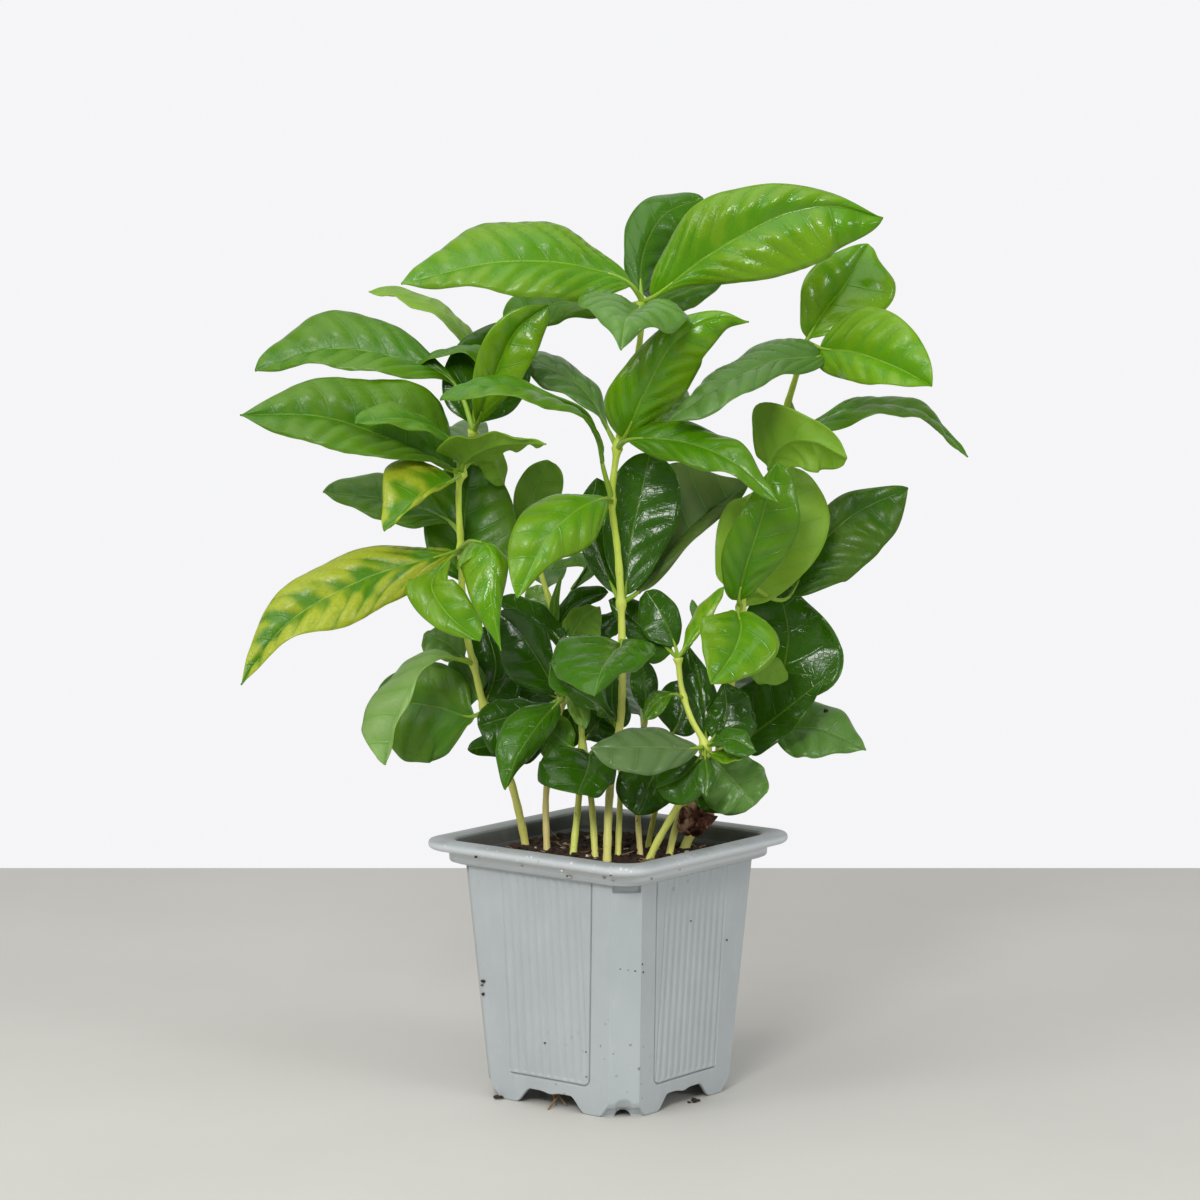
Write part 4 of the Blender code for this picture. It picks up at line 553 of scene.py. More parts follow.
    "crinkled": Leaf("low_front", "broad", "deep", 0.9, [
        (620, 736, -4), (613, 722, 2), (598, 704, 8), (575, 688, 16), (550, 663, 23)],
        [(604, 692, 3), (585, 672, 9), (565, 652, 16)],
        [(607, 718, 8), (592, 712, 14), (575, 701, 20), (556, 692, 24), (548, 678, 26)]),
    "low_front_up": Leaf("low_front", "broad", "dark", 0.3, [
        (622, 735, -9), (619, 728, -11), (612, 702, -15), (613, 674, -18)],
        [(597, 702, -14)],
        [(630, 708, -17)]),
    "glossy_down": Leaf("thin_back", "broad", "dark", 0.5, [
        (667, 745, -14), (661, 760, -6), (649, 785, 0), (636, 815, 4)],
        [(618, 775, 0)], [(676, 794, 0)]),
    "lit_back": Leaf("low_back", "broad", "deep", 0.3, [
        (645, 721, -26), (646, 712, -27), (645, 688, -29), (642, 660, -31)],
        [(630, 684, -29)], [(658, 682, -29)]),
    "dark_upright_low": Leaf("thin_back", "broad", "dark", 0.3, [
        (668, 741, -14), (673, 733, -15), (682, 710, -18), (680, 680, -21)],
        [(661, 720, -16), (659, 696, -18)],
        [(698, 728, -16), (702, 700, -19)]),
    "big_crinkled": Leaf("low_right", "round", "dark", 1.2, [
        (768, 681, -32), (772, 688, -31), (788, 642, -30), (776, 577, -33)],
        [(752, 672, -30), (742, 640, -31), (744, 608, -32), (752, 588, -33)],
        [(800, 702, -26), (818, 701, -25), (834, 691, -25), (845, 667, -26), (839, 646, -27), (832, 630, -28),
        (819, 616, -30), (805, 602, -32), (792, 587, -33)]),
    "big_dark": Leaf("low_right", "broad", "dark", 0.4, [
        (733, 748, -24), (739, 744, -20), (775, 718, -16), (826, 677, -12)],
        [(727, 722, -21), (729, 698, -21), (752, 682, -20), (786, 673, -17)],
        [(748, 763, -18), (762, 753, -16), (775, 744, -15), (795, 728, -13), (808, 711, -12)]),
    "low_far_right": Leaf("low_right", "long", "sheen", 0.5, [
        (748, 722, -28), (772, 728, -30), (815, 728, -28), (866, 750, -26)],
        [(818, 702, -36), (850, 720, -32)], [(785, 751, -22), (828, 756, -20)]),
}

# Out of the viewer's sight, the seedlings grow leaves to the back as well.
BACK_LEAVES = {
    "back_crown": Leaf("centre", "long", "bright", 0.4, [
        (643, 303, -3), (648, 300, -9), (668, 276, -40), (690, 262, -68)],
        [(640, 262, -40)], [(700, 292, -40)]),
    "back_second": Leaf("centre", "long", "mid", 0.4, [
        (618, 448, 2), (622, 442, -5), (645, 404, -36), (672, 372, -62)],
        [(624, 385, -40)], [(684, 412, -38)]),
    "back_left": Leaf("left", "long", "mid", 0.4, [
        (461, 474, -1), (462, 465, -8), (463, 440, -36), (470, 420, -62)],
        [(434, 440, -36)], [(488, 432, -36)]),
    "back_left_low": Leaf("left", "long", "mid", 0.4, [
        (461, 552, -3), (463, 545, -10), (474, 528, -42), (485, 520, -68)],
        [(452, 512, -42)], [(502, 538, -42)]),
    "back_right": Leaf("right", "long", "mid", 0.4, [
        (754, 552, -8), (758, 545, -14), (772, 522, -46), (786, 505, -72)],
        [(748, 510, -46)], [(802, 536, -46)]),
    "back_middle": Leaf("centre", "long", "mid", 0.4, [
        (619, 570, 2), (622, 562, -10), (640, 545, -46), (656, 530, -74)],
        [(614, 530, -46)], [(666, 556, -46)]),
    "back_tall": Leaf("tall_back", "long", "mid", 0.4, [
        (548, 598, -34), (546, 588, -40), (540, 560, -62), (536, 545, -84)],
        [(518, 552, -62)], [(566, 566, -62)]),
    "back_low_left": Leaf("low_left", "broad", "dark", 0.4, [
        (561, 706, -10), (556, 696, -20), (536, 674, -46), (520, 655, -66)],
        [(510, 678, -46)], [(556, 664, -46)]),
    "back_low_right": Leaf("low_right", "broad", "dark", 0.4, [
        (738, 742, -25), (742, 735, -33), (755, 716, -58), (768, 700, -78)],
        [(733, 706, -58)], [(782, 728, -58)]),
    "back_right_low": Leaf("right", "broad", "dark", 0.4, [
        (727, 705, -10), (730, 690, -28), (748, 652, -58), (770, 622, -78)],
        [(728, 634, -60)], [(772, 668, -58)]),
    "back_thin": Leaf("thin_back", "broad", "dark", 0.4, [
        (667, 750, -15), (672, 730, -24), (682, 705, -48), (690, 680, -66)],
        [(660, 700, -48)], [(704, 704, -48)]),
    "back_low": Leaf("low_back", "broad", "dark", 0.4, [
        (644, 730, -25), (642, 716, -34), (634, 690, -58), (626, 668, -76)],
        [(612, 694, -58)], [(656, 690, -58)]),
}

# How sharply a blade narrows to its foot and its tip
FORMS = {"long": 1.75, "broad": 1.3, "round": 0.9}
ALL_LEAVES = [*LEAVES.values(), *BACK_LEAVES.values()]

# Leaves that turn their matt underside to the viewer
UNDERSIDE_SEEN = [LEAVES[name] for name in (
    "folded_right", "backlit_right", "forward_left", "curled_left", "middle_olive", "drooping_left",
    "notched_back", "low_point_right", "lit_glimpse")]

# How light and how yellow each shade of leaf is, how withered, how far its veins stand out,
# how much painted sheen it bears (a pale grey-green that stands for reflected glare) and how
# far its gloss is dulled
Shade = namedtuple("Shade", "light yellow dry veins bloom dull")
SHADES = {
    "bright": Shade(0.74, 0.09, 0.0, 1.25, 0.0, 0.5),
    "lit": Shade(0.74, 0.09, 0.0, 1.0, 0.0, 0.0),
    "mid": Shade(0.48, 0.05, 0.0, 1.0, 0.0, 0.7),
    "fresh": Shade(0.46, 0.04, 0.0, 1.0, 0.0, 0.1),
    "deep": Shade(0.27, 0.0, 0.0, 1.0, 0.0, 0.2),
    "dull": Shade(0.17, 0.04, 0.0, 1.1, 0.0, 0.6),
    "dark": Shade(0.15, 0.0, 0.0, 1.1, 0.0, 0.0),
    "sheen": Shade(0.46, 0.0, 0.0, 1.35, 0.2, 0.4),
    # Painted light: a leaf painted pale, with much painted sheen, for a face in strong light
    "lit_sheen": Shade(0.9, 0.05, 0.0, 0.7, 0.5, 0.8),
    "olive": Shade(0.08, 0.06, 0.0, 0.8, 0.1, 0.6),
    "yellow": Shade(0.95, 0.16, 0.0, 0.7, 0.0, 0.3),
    "pale": Shade(0.7, 0.08, 0.0, 0.6, 0.2, 0.5),
    "mottled": Shade(0.6, 0.5, 0.0, 1.0, 0.0, 0.6),
    # A dark leaf under a painted sheen
    "bluish": Shade(0.2, 0.0, 0.0, 1.0, 0.32, 0.1),
    "dried": Shade(0.1, 0.0, 1.0, 1.6, 0.0, 1.0),
}


def unit(vectors):
    """The vectors at length 1."""
    return vectors / np.linalg.norm(vectors, axis=-1, keepdims=True)


def spot(x, y, toward):
    """The point, in millimetres, that shows at x, y and stands `toward` nearer."""
    side = (x - PICTURE_SIDE / 2) / PICTURE_FOCUS
    lift = (PICTURE_SIDE / 2 - y) / PICTURE_FOCUS
    away = math.cos(EYE_TILT) + lift * math.sin(EYE_TILT)
    rise = lift * math.cos(EYE_TILT) - math.sin(EYE_TILT)
    reach = (EYE_DISTANCE - toward) / away
    return ACROSS * (EYE_ACROSS + side * reach) + UP * (EYE_HEIGHT + rise * reach) + TOWARD * toward


def spot_on(x, y, normal, distance):
    """The point that shows at x, y and lies this far from the middle along the normal."""
    near, far = spot(x, y, 0.0), spot(x, y, -100.0)
    return near + (far - near) * ((near @ normal - distance) / ((near - far) @ normal))


def smooth_route(points, places):
    """Hermite curve through the points, with slopes by chord length; places run from 0 to 1."""
    points = np.array(points, float)
    steps = np.linalg.norm(np.diff(points, axis=0), axis=1)
    marks = np.concatenate([[0.0], np.cumsum(steps)]) / steps.sum()
    slopes = np.gradient(points, marks, axis=0)
    places = np.clip(np.asarray(places, float), 0.0, 1.0)
    index = np.clip(np.searchsorted(marks, places, side="right") - 1, 0, len(marks) - 2)
    span = marks[index + 1] - marks[index]
    u = ((places - marks[index]) / span)[:, None]
    span = span[:, None]
    start = (1 + 2 * u) * (1 - u) ** 2 * points[index]
    start += u * (1 - u) ** 2 * span * slopes[index]
    end = u ** 2 * (3 - 2 * u) * points[index + 1]
    end += u ** 2 * (u - 1) * span * slopes[index + 1]
    return start + end


def turned(vectors, before, after):
    """Turn each vector as `before` turns into `after`: v + w x v + w x (w x v) / (1 + c)."""
    axis = np.cross(before, after)
    cosine = np.sum(before * after, axis=-1, keepdims=True)
    first = np.cross(axis, vectors)
    return vectors + first + np.cross(axis, first) / (1.0 + cosine)


def soft_step(low, high, values):
    """0 below low and 1 above high, with the smooth 3t^2 - 2t^3 between them."""
    t = np.clip((values - low) / (high - low), 0.0, 1.0)
    return t * t * (3 - 2 * t)


def value_noise(x, y, cell, seed):
    """Smooth noise from -1 to 1: random values on a lattice of cells, eased between them."""
    table = np.random.default_rng(seed).uniform(-1.0, 1.0, (64, 64))
    u, v = x / cell + 31.7, y / cell + 17.3
    column, row = np.floor(u).astype(int), np.floor(v).astype(int)
    s = soft_step(0.0, 1.0, u - column)
    t = soft_step(0.0, 1.0, v - row)
    a = table[row % 64, column % 64]
    b = table[row % 64, (column + 1) % 64]
    c = table[(row + 1) % 64, column % 64]
    d = table[(row + 1) % 64, (column + 1) % 64]
    return (a * (1 - s) + b * s) * (1 - t) + (c * (1 - s) + d * s) * t


class Shape:
    """Vertices, faces and attributes that grow into one mesh."""

    def __init__(self):
        self.vertices = []
        self.faces = []
        self.values = {}
        self.count = 0

    def add(self, vertices, faces, **values):
        """Add a part; each value is one row of numbers for every vertex."""
        vertices = np.asarray(vertices, float).reshape(-1, 3)
        self.vertices.append(vertices)
        self.faces += [[index + self.count for index in face] for face in faces]
        for name, numbers in values.items():
            numbers = np.asarray(numbers, float)
            if numbers.ndim == 1:
                numbers = np.broadcast_to(numbers, (len(vertices), len(numbers)))
            self.values.setdefault(name, []).append(numbers.reshape(len(vertices), -1))
        self.count += len(vertices)

    def piece(self, name, made_of, slot, *replaced):
        """Make the object, give it its material and let it ride on the plant."""
        mesh = bpy.data.meshes.new(name)
        mesh.from_pydata(np.concatenate(self.vertices) * MM, [], self.faces)
        for label, rows in self.values.items():
            layer = mesh.attributes.new(label, "FLOAT_VECTOR", "POINT")
            layer.data.foreach_set("vector", np.concatenate(rows).astype(np.float32).ravel())
        mesh.validate()
        mesh.shade_smooth()
        thing = bpy.data.objects.new(name, mesh)
        bpy.context.scene.collection.objects.link(thing)
        thing.data.materials.append(made_of)
        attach(thing, BODY)
        if replaced:
            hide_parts(*replaced)
        return thing


def grid_faces(rows, columns, closed=False, flip=False):
    """Quads between the points of a grid; a closed one joins its last column to its first."""
    across = columns if closed else columns - 1
    row, column = np.meshgrid(np.arange(rows - 1), np.arange(across), indexing="ij")
    a = row * columns + column
    b = row * columns + (column + 1) % columns
    corners = [a, b, b + columns, a + columns]
    if flip:
        corners.reverse()
    return np.stack(corners, axis=-1).reshape(-1, 4)


def closed_sheet(top, under, flip=False):
    """The points and faces of a slab between two grids of points, closed around its border."""
    rows, columns = top.shape[:2]
    count = rows * columns
    faces = grid_faces(rows, columns, flip=flip).tolist()
    faces += (grid_faces(rows, columns, flip=not flip) + count).tolist()
    border = list(range(columns)) + [r * columns + columns - 1 for r in range(1, rows)]
    border += [count - 1 - c for c in range(1, columns)]
    border += [r * columns for r in range(rows - 2, 0, -1)]
    for a, b in zip(border, border[1:] + border[:1]):
        rim = [a, a + count, b + count, b]
        faces.append(rim[::-1] if flip else rim)
    return np.concatenate([top.reshape(-1, 3), under.reshape(-1, 3)]), faces


def tube(path, radii, sides):
    """A circle carried along the path: centre + r (cos t n + sin t b), turned the least on its way.

    Its ends are closed by rings that shrink onto the path.
    """
    path = np.asarray(path, float)
    radii = np.broadcast_to(radii, (len(path),)).astype(float)
    heads = unit(np.gradient(path, axis=0))
    path = np.concatenate([path[:1], path, path[-1:]])
    heads = np.concatenate([heads[:1], heads, heads[-1:]])
    radii = np.concatenate([[radii[0] * 0.05], radii, [radii[-1] * 0.05]])
    guide = UP if abs(heads[0] @ UP) < 0.9 else ACROSS
    first = unit(np.cross(heads[0], guide))
    normals = unit(turned(np.broadcast_to(first, heads.shape), heads[0], heads))
    others = np.cross(heads, normals)
    angle = np.arange(sides) * 2 * math.pi / sides
    ring = np.cos(angle)[None, :, None] * normals[:, None]
    ring = ring + np.sin(angle)[None, :, None] * others[:, None]
    points = path[:, None] + ring * radii[:, None, None]
    faces = grid_faces(len(path), sides, closed=True).tolist()
    faces.append(list(reversed(range(sides))))
    faces.append(list(range((len(path) - 1) * sides, len(path) * sides)))
    return points, faces


def blade_width(form, widest, place):
    """Share of the greatest width, p^a (1-p)^b over its own peak, from the foot to the tip."""
    a = FORMS[form] * widest
    b = FORMS[form] * (1.0 - widest)
    place = np.clip(place, 0.0, 1.0)
    return place ** a * (1.0 - place) ** b / (widest ** a * (1.0 - widest) ** b)


def stem_route(plant):
    """The stem's points in millimetres, from its foot in the soil to its top."""
    route = STEMS[plant].route
    points = [spot_on(*route[0], UP, SOIL_TOP)]
    points += [spot(*point) for point in route[1:]]
    lean = unit(unit(points[1] - points[0]) + UP * 2.0)
    return np.array([points[0] - lean * STEM_IN_SOIL] + points)


def on_stem(plant, point):
    """The place on the plant's stem that is nearest to the point."""
    line = smooth_route(stem_route(plant), np.linspace(0.0, 1.0, 241))
    return line[int(np.argmin(np.linalg.norm(line - point, axis=1)))]


def rib_route(leaf):
    """The rib's points from the stem on, its length, and the share of it that is the stalk's."""
    rib = [spot(*point) for point in leaf.rib]
    rib[0] = on_stem(leaf.plant, rib[0])
    steps = np.linalg.norm(np.diff(rib, axis=0), axis=1)
    return rib, float(steps.sum()), steps[0] / steps.sum()


def blade_side(form, edge, line, heads):
    """Read one edge as arms that reach out from the rib, in the frame of its start."""
    found = []
    for spot_of_edge in edge:
        point = spot(*spot_of_edge)
        nearest = int(np.argmin(np.linalg.norm(line - point, axis=1)))
        nearest = min(max(nearest, EDGE_FROM), EDGE_TO)
        arm = point - line[nearest]
        arm -= heads[nearest] * float(arm @ heads[nearest])
        found.append((nearest / RIB_STEPS, turned(arm, heads[nearest], heads[0])))
    found.sort(key=lambda item: item[0])
    places = [place for place, arm in found]
    reach = [float(np.linalg.norm(arm)) for place, arm in found]
    widest = min(max(places[int(np.argmax(reach))], WIDEST_FROM), WIDEST_TO)
    arms = [arm / max(blade_width(form, widest, place), LEAST_SHARE) for place, arm in found]
    return widest, places, np.array(arms)


def blade_arms(leaf, side, inner, heads):
    """One side's reach from the rib at each place along the blade, and its share of the width."""
    widest, marks, reaches = side
    arms = np.stack([np.interp(inner, marks, reaches[:, axis]) for axis in range(3)], axis=-1)
    reach = len(inner) // 14
    padded = np.concatenate([arms[:1].repeat(reach, axis=0), arms, arms[-1:].repeat(reach, axis=0)])
    arms = sum(padded[step:step + len(inner)] for step in range(2 * reach + 1)) / (2 * reach + 1)
    arms = turned(arms, heads[0], heads)
    width = blade_width(leaf.form, widest, inner)
    length = np.linalg.norm(arms, axis=1)
    least = np.where(inner > 0.5, TIP_HALF, PETIOLE_HALF) / length
    return arms * np.maximum(width, least)[:, None], width


def outward(leaf, centre):
    """The level direction from the foot of the plant's stem to the blade."""
    way = centre - stem_route(leaf.plant)[1]
    return unit(way * np.array([1.0, 1.0, 0.0]) + TOWARD * 1e-3)


def upper_side(leaf, centre, normal):
    """1 or -1, so that normal times it points to the side to which the blade swells."""
    return 1.0 if normal @ (UP + outward(leaf, centre) * OUTWARD_SHARE) > 0 else -1.0


def upper_face(leaf, centre, heading, normal):
    """1 or -1, so that normal times it points to the glossy face.

    A hidden blade's glossy face looks up; on one that rises it looks back at the stem as well,
    and on one that hangs it looks outward. One that shows turns the face that is seen.
    """
    if leaf in BACK_LEAVES.values():
        return 1.0 if normal @ (UP - outward(leaf, centre) * float(heading @ UP)) > 0 else -1.0
    if leaf in UNDERSIDE_SEEN:
        return -1.0 if normal @ TOWARD > 0 else 1.0
    return 1.0 if normal @ (TOWARD + UP * 0.5) > 0 else -1.0


def vein_phase(length, out, v, left, chance):
    """Count of side veins passed: they leave the rib at s and meet v = s + (1 - s) q |u|^1.25.

    The veins of the two halves alternate, and on the rib itself the count is their mean.
    """
    veins = float(np.clip(length / chance.uniform(*VEIN_PITCH), *VEIN_COUNT))
    bend = VEIN_BEND * out ** 1.25
    side_shift = np.where(left, 0.0, 0.42) + chance.uniform(0, 1)
    phase = veins * (v - bend) / (1 - bend) + side_shift
    middle = np.broadcast_to(out < 1e-9, phase.shape)
    return np.where(middle, phase - side_shift + 0.21, phase)


def blade_frame(leaf):
    """The lines on which a blade is built, in rows from its foot to its tip."""
    rib, length, start = rib_route(leaf)
    line = smooth_route(rib, np.linspace(start, 1.0, RIB_STEPS + 1))
    heads = unit(np.gradient(line, axis=0))
    sides = [blade_side(leaf.form, edge, line, heads) for edge in (leaf.edge_a, leaf.edge_b)]
    rows = int(np.clip(length * ROWS_PER_MM, LEAST_ROWS, MOST_ROWS))
    inner = np.linspace(0.0, 1.0, rows + 1)
    inner = inner - 0.05 * np.sin(2 * math.pi * inner)
    places = start + (1 - start) * inner
    line = smooth_route(rib, places)
    heads = unit(smooth_route(rib, places + 0.01) - smooth_route(rib, places - 0.01))
    arms, widths = zip(*(blade_arms(leaf, side, inner, heads) for side in sides))
    normal = unit(np.cross(heads, unit(arms[1]) - unit(arms[0])))
    return Frame(length, length * (1 - start), inner[:, None], line, arms, widths, normal)


def pillows(strength, length, lobes, u, v, reach, seed):
    """How far the blade swells between its side veins, uneven by noise."""
    out = np.abs(u)
    pillow = lobes ** 0.8 * soft_step(0.0, 0.4, out) * (1 - out ** 4)
    pillow = pillow * PILLOW * strength * np.minimum(reach, PILLOW_REACH) * soft_step(*FOOT_FADE, v)
    pillow = pillow * float(np.clip(length / PILLOW_LENGTH, 0.3, 1.2))
    return pillow * (0.75 + 0.25 * value_noise(u * 9, v * 22 + seed, 3.0, seed))


def leaf_blade(leaf, seed):
    """One blade as a closed sheet, with its values for the veins and the tone.

    A point is rib(v) + arm(v) |u| + n (swell 4 |u| (1 - |u|) + wave u^2 + pillows), where u runs
    across from -1 to 1 and v from the foot to the tip. The pillows are |cos(pi phase)| between
    the side veins.
    """
    length, blade_length, v, line, arms, widths, normal = blade_frame(leaf)
    rows = len(line) - 1
    centre, facing = line.mean(axis=0), normal[rows // 3:-rows // 3].mean(axis=0)
    up = upper_side(leaf, centre, facing)
    face = upper_face(leaf, centre, unit(line[-1] - line[0]), facing)

    columns = MOST_COLUMNS if length > SMALL_LEAF else LEAST_COLUMNS
    even = np.linspace(-1.0, 1.0, columns + 1)[None, :]
    u = np.sign(even) * np.abs(even) ** RIB_CROWDING
    out, left = np.abs(u), u < 0
    halves = [np.linalg.norm(arm, axis=1)[:, None] for arm in arms]
    reach = np.where(left, *halves)
    width = np.where(left, *(share[:, None] for share in widths))
    swell = 4 * out * (1 - out) * SWELL * (halves[0] + halves[1])
    wave = WAVE * leaf.wave * np.sin(19.0 * v + np.where(left, 2.0, 0.4)) * u ** 2
    wave = wave * np.minimum(1.0, 4 * width)

    chance = np.random.default_rng(seed)
    shade = SHADES[leaf.shade]
    phase = vein_phase(blade_length, out, v, left, chance)
    lobes = np.abs(np.cos(math.pi * phase))
    pillow = pillows(shade.veins, length, lobes, u, v, reach, seed)
    dent = value_noise(u * 10, v * 24, 5.0, seed + 500) * DENT * reach * np.minimum(1, out * 3)
    ripple = RIPPLE * reach * np.sin(2 * math.pi * phase + 1.0) * out ** 6
    lift = swell + wave + dent + ripple + pillow * 0.6 * up * face
    arm = np.where(left[..., None], arms[0][:, None] * -u[..., None], arms[1][:, None] * u[..., None])
    sheet = line[:, None] + arm + up * normal[:, None, :] * lift[..., None]
    crumple = np.stack([value_noise(u * 5, v * 7, 1.3, seed + axis) for axis in range(3)], axis=-1)
    sheet = sheet + crumple * (CRUMPLE * shade.dry)

    rise = unit(np.cross(np.gradient(sheet, axis=0), np.gradient(sheet, axis=1))) * face
    half = BLADE_HALF * (1 - 0.5 * out ** 8)
    groove = RIB_GROOVE * np.exp(-(u * reach / RIB_HALF) ** 2) * (1 - 0.7 * v)
    top = sheet + rise * (half + pillow * 0.4 - groove)[..., None]
    ridge = RIB_RIDGE * (1 - 0.8 * v) * np.sqrt(np.clip(1 - (u * reach / RIDGE_HALF) ** 2, 0, 1))
    lateral = SIDE_RIDGE * np.exp(-(lobes / 0.22) ** 2) * (1 - out)
    under = sheet - rise * (half + ridge + lateral * soft_step(*FOOT_FADE, v))[..., None]

    points, faces = closed_sheet(top, under, flip=face < 0)
    light = float(np.clip(shade.light + chance.uniform(-LIGHT_SPREAD, LIGHT_SPREAD), 0, 1))
    is_under = np.stack([np.zeros(phase.shape), np.ones(phase.shape)])
    values = {"vein": (phase, u, v), "skin": (shade.dull, 0.0, 0.0),
              "size": (reach, shade.dry, shade.bloom), "tone": (light, shade.yellow, is_under)}
    for name, numbers in values.items():
        spread = [np.broadcast_to(number, is_under.shape) for number in numbers]
        values[name] = np.stack(spread, axis=-1).reshape(-1, 3)
    return points, faces, values


def leaf_stalk(leaf):
    """The stalk from the stem into the blade: a thin tube, widest where it leaves the stem."""
    rib, length, start = rib_route(leaf)
    places = np.linspace(0.0, start + 0.12 * (1 - start), 14)
    radii = np.interp(places / places[-1], [0, 0.12, 0.5, 1], STALK_RADII)
    return tube(smooth_route(rib, places), radii * (0.45 + 0.55 * min(1.0, length / STALK_LEAF)), 10)


def add_seedling(plant, sizes):
    """All the blades of one plant as a piece, and its stem with the stalks as another."""
    blades, stalks = Shape(), Shape()
    route = stem_route(plant)
    stem = STEMS[plant]
    places = np.linspace(0.0, 1.0, int(len(route) * 14))
    path = smooth_route(route, places)
    radii = stem.foot_radius + (stem.top_radius - stem.foot_radius) * places ** 0.6
    leaves = [(number, leaf) for number, leaf in enumerate(ALL_LEAVES) if leaf.plant == plant]
    for _, leaf in leaves:
        gap = np.linalg.norm(path - on_stem(plant, spot(*leaf.rib[0])), axis=1)
        radii = radii + NODE_SWELL * np.exp(-(gap / 1.6) ** 2) / math.sqrt(2.0)
    radii = np.minimum(radii, stem.foot_radius + 0.75)
    radii = radii * (1 + 0.05 * np.sin(path[:, 2] * 0.9))
    stalks.add(*tube(path, radii, 14), growth=[1.0, BEIGE.get(plant, 0.3), 0.0])
    for number, leaf in leaves:
        vertices, faces, values = leaf_blade(leaf, number)
        blades.add(vertices, faces, **values)
        if leaf.shade != "dried":
            stalks.add(*leaf_stalk(leaf), growth=[0.0, 0.0, 0.0])
    node = "seedling_" + plant
    blades.piece("leaves_" + plant, material("glossy_leaf", paint_leaf, sizes), "leaf", node)
    stalks.piece("stem_" + plant, material("green_stem", paint_stem, sizes), "leaf", node)


def wall_half(height):
    """Half the pot's width over its flat walls at this height."""
    return (FOOT_SIDE + (WALL_TOP_SIDE - FOOT_SIDE) * height / COLLAR_FOOT) / 2


def corner_relief(chamfer, height):
    """How far each cut corner is sunk: a little at its foot and in a patch under the collar."""
    aside = np.abs(chamfer)
    sunk = 1 - soft_step(*CORNER_FOOT_HALF, aside + height * 0.4)
    sunk = sunk * (1 - soft_step(*CORNER_FOOT_TOP, height))
    patch = soft_step(*CORNER_PATCH_FOOT, height) * (1 - soft_step(*CORNER_PATCH_HALF, aside))
    return CORNER_SINK * (sunk + patch)


def panel_groove(across, panel, height):
    """A bell curve about the rounded outline of the ribbed panel, open at its far side and top."""
    over = across - (panel - PANEL_CORNER)
    below = PANEL_FOOT + PANEL_CORNER - height
    away = np.where((over > 0) & (below > 0),
                    np.hypot(np.maximum(over, 0), np.maximum(below, 0)) - PANEL_CORNER,
                    np.maximum(across - panel, below - PANEL_CORNER))
    return np.exp(-(away / GROOVE_HALF) ** 2) * soft_step(-panel, 1.5 - panel, across)


def pot_rings(profile):
    """Rings of a square with cut or round corners, one for each row, with the wall's relief.

    Flats are sunk by the panel's groove and by parallel ribs, and the cut corners by their own
    relief. The lowest rings are lifted to the foot's outline of arches and drains. Also gives
    each point's share of groove.
    """
    heights, halves, corners, rounds, features, skirted = (
        np.array(column, float)[:, None] for column in list(zip(*profile))[:6])
    even = np.linspace(-1.0, 1.0, 2001)
    crowd = np.cumsum(1.0 + 2.5 * np.exp(-((np.abs(even) - GROOVE_PLACE) / 0.04) ** 2))
    t = np.interp(np.linspace(crowd[0], crowd[-1], FLAT_STEPS + 1), crowd, even)[None, :]
    flat_y = t * (halves - corners)
    q = (np.arange(1, CORNER_STEPS) / CORNER_STEPS)[None, :]
    chamfer = (q - 0.5) * corners * math.sqrt(2.0)

    arch = ARCH_HEIGHT * (1 - soft_step(ARCH_TOP_HALF, ARCH_FOOT_HALF, np.abs(flat_y)))
    arch = arch - 0.7 * np.exp(-(flat_y / 2.6) ** 2)
    drain = np.sqrt(np.clip(CORNER_DRAIN_RADIUS ** 2 - chamfer ** 2, 0, None))
    foot = np.concatenate([np.maximum(arch, 0.0), np.maximum(drain - 0.3, 0.0)], axis=1)
    height = heights + foot * np.clip(1 - heights / SKIRT, 0.0, 1.0) * skirted
    flat_height, corner_height = height[:, :FLAT_STEPS + 1], height[:, FLAT_STEPS + 1:]

    cut = 1 - corner_relief(chamfer, corner_height) * features / halves
    corner_x, corner_y = (
        (halves - corners * share) * cut * (1 - rounds) + (halves - corners + corners * bent) * rounds
        for share, bent in ((q, np.cos(q * math.pi / 2)), (1 - q, np.sin(q * math.pi / 2))))

    panel = wall_half(heights) - CORNER_CUT - PANEL_SIDE_GAP
    rib_half = RIB_PITCH * RIB_COUNT / 2
    wave = 0.5 + 0.5 * np.cos(2 * math.pi * (flat_y + rib_half) / RIB_PITCH)
    inside = 1 - soft_step(rib_half - 0.2, rib_half, np.abs(flat_y))
    inside = inside * soft_step(PANEL_FOOT + 0.8, PANEL_FOOT + 1.6, flat_height)
    ribs = RIB_DEPTH * soft_step(0.3, 0.75, wave) * inside
    rings, grooves = [], []
    for quarter in range(4):
        groove = panel_groove(flat_y if quarter % 2 else -flat_y, panel, flat_height) * features
        flat_x = halves - (GROOVE_DEPTH * groove + ribs) * features
        x = np.concatenate([flat_x, corner_x], axis=1)
        y = np.concatenate([flat_y, corner_y], axis=1)
        c, s = round(math.cos(quarter * math.pi / 2)), round(math.sin(quarter * math.pi / 2))
        rings.append(np.stack([x * c - y * s, x * s + y * c, height], axis=-1))
        grooves.append(np.concatenate([groove, np.zeros_like(corner_x)], axis=1))
    return np.concatenate(rings, axis=1), np.concatenate(grooves, axis=1)


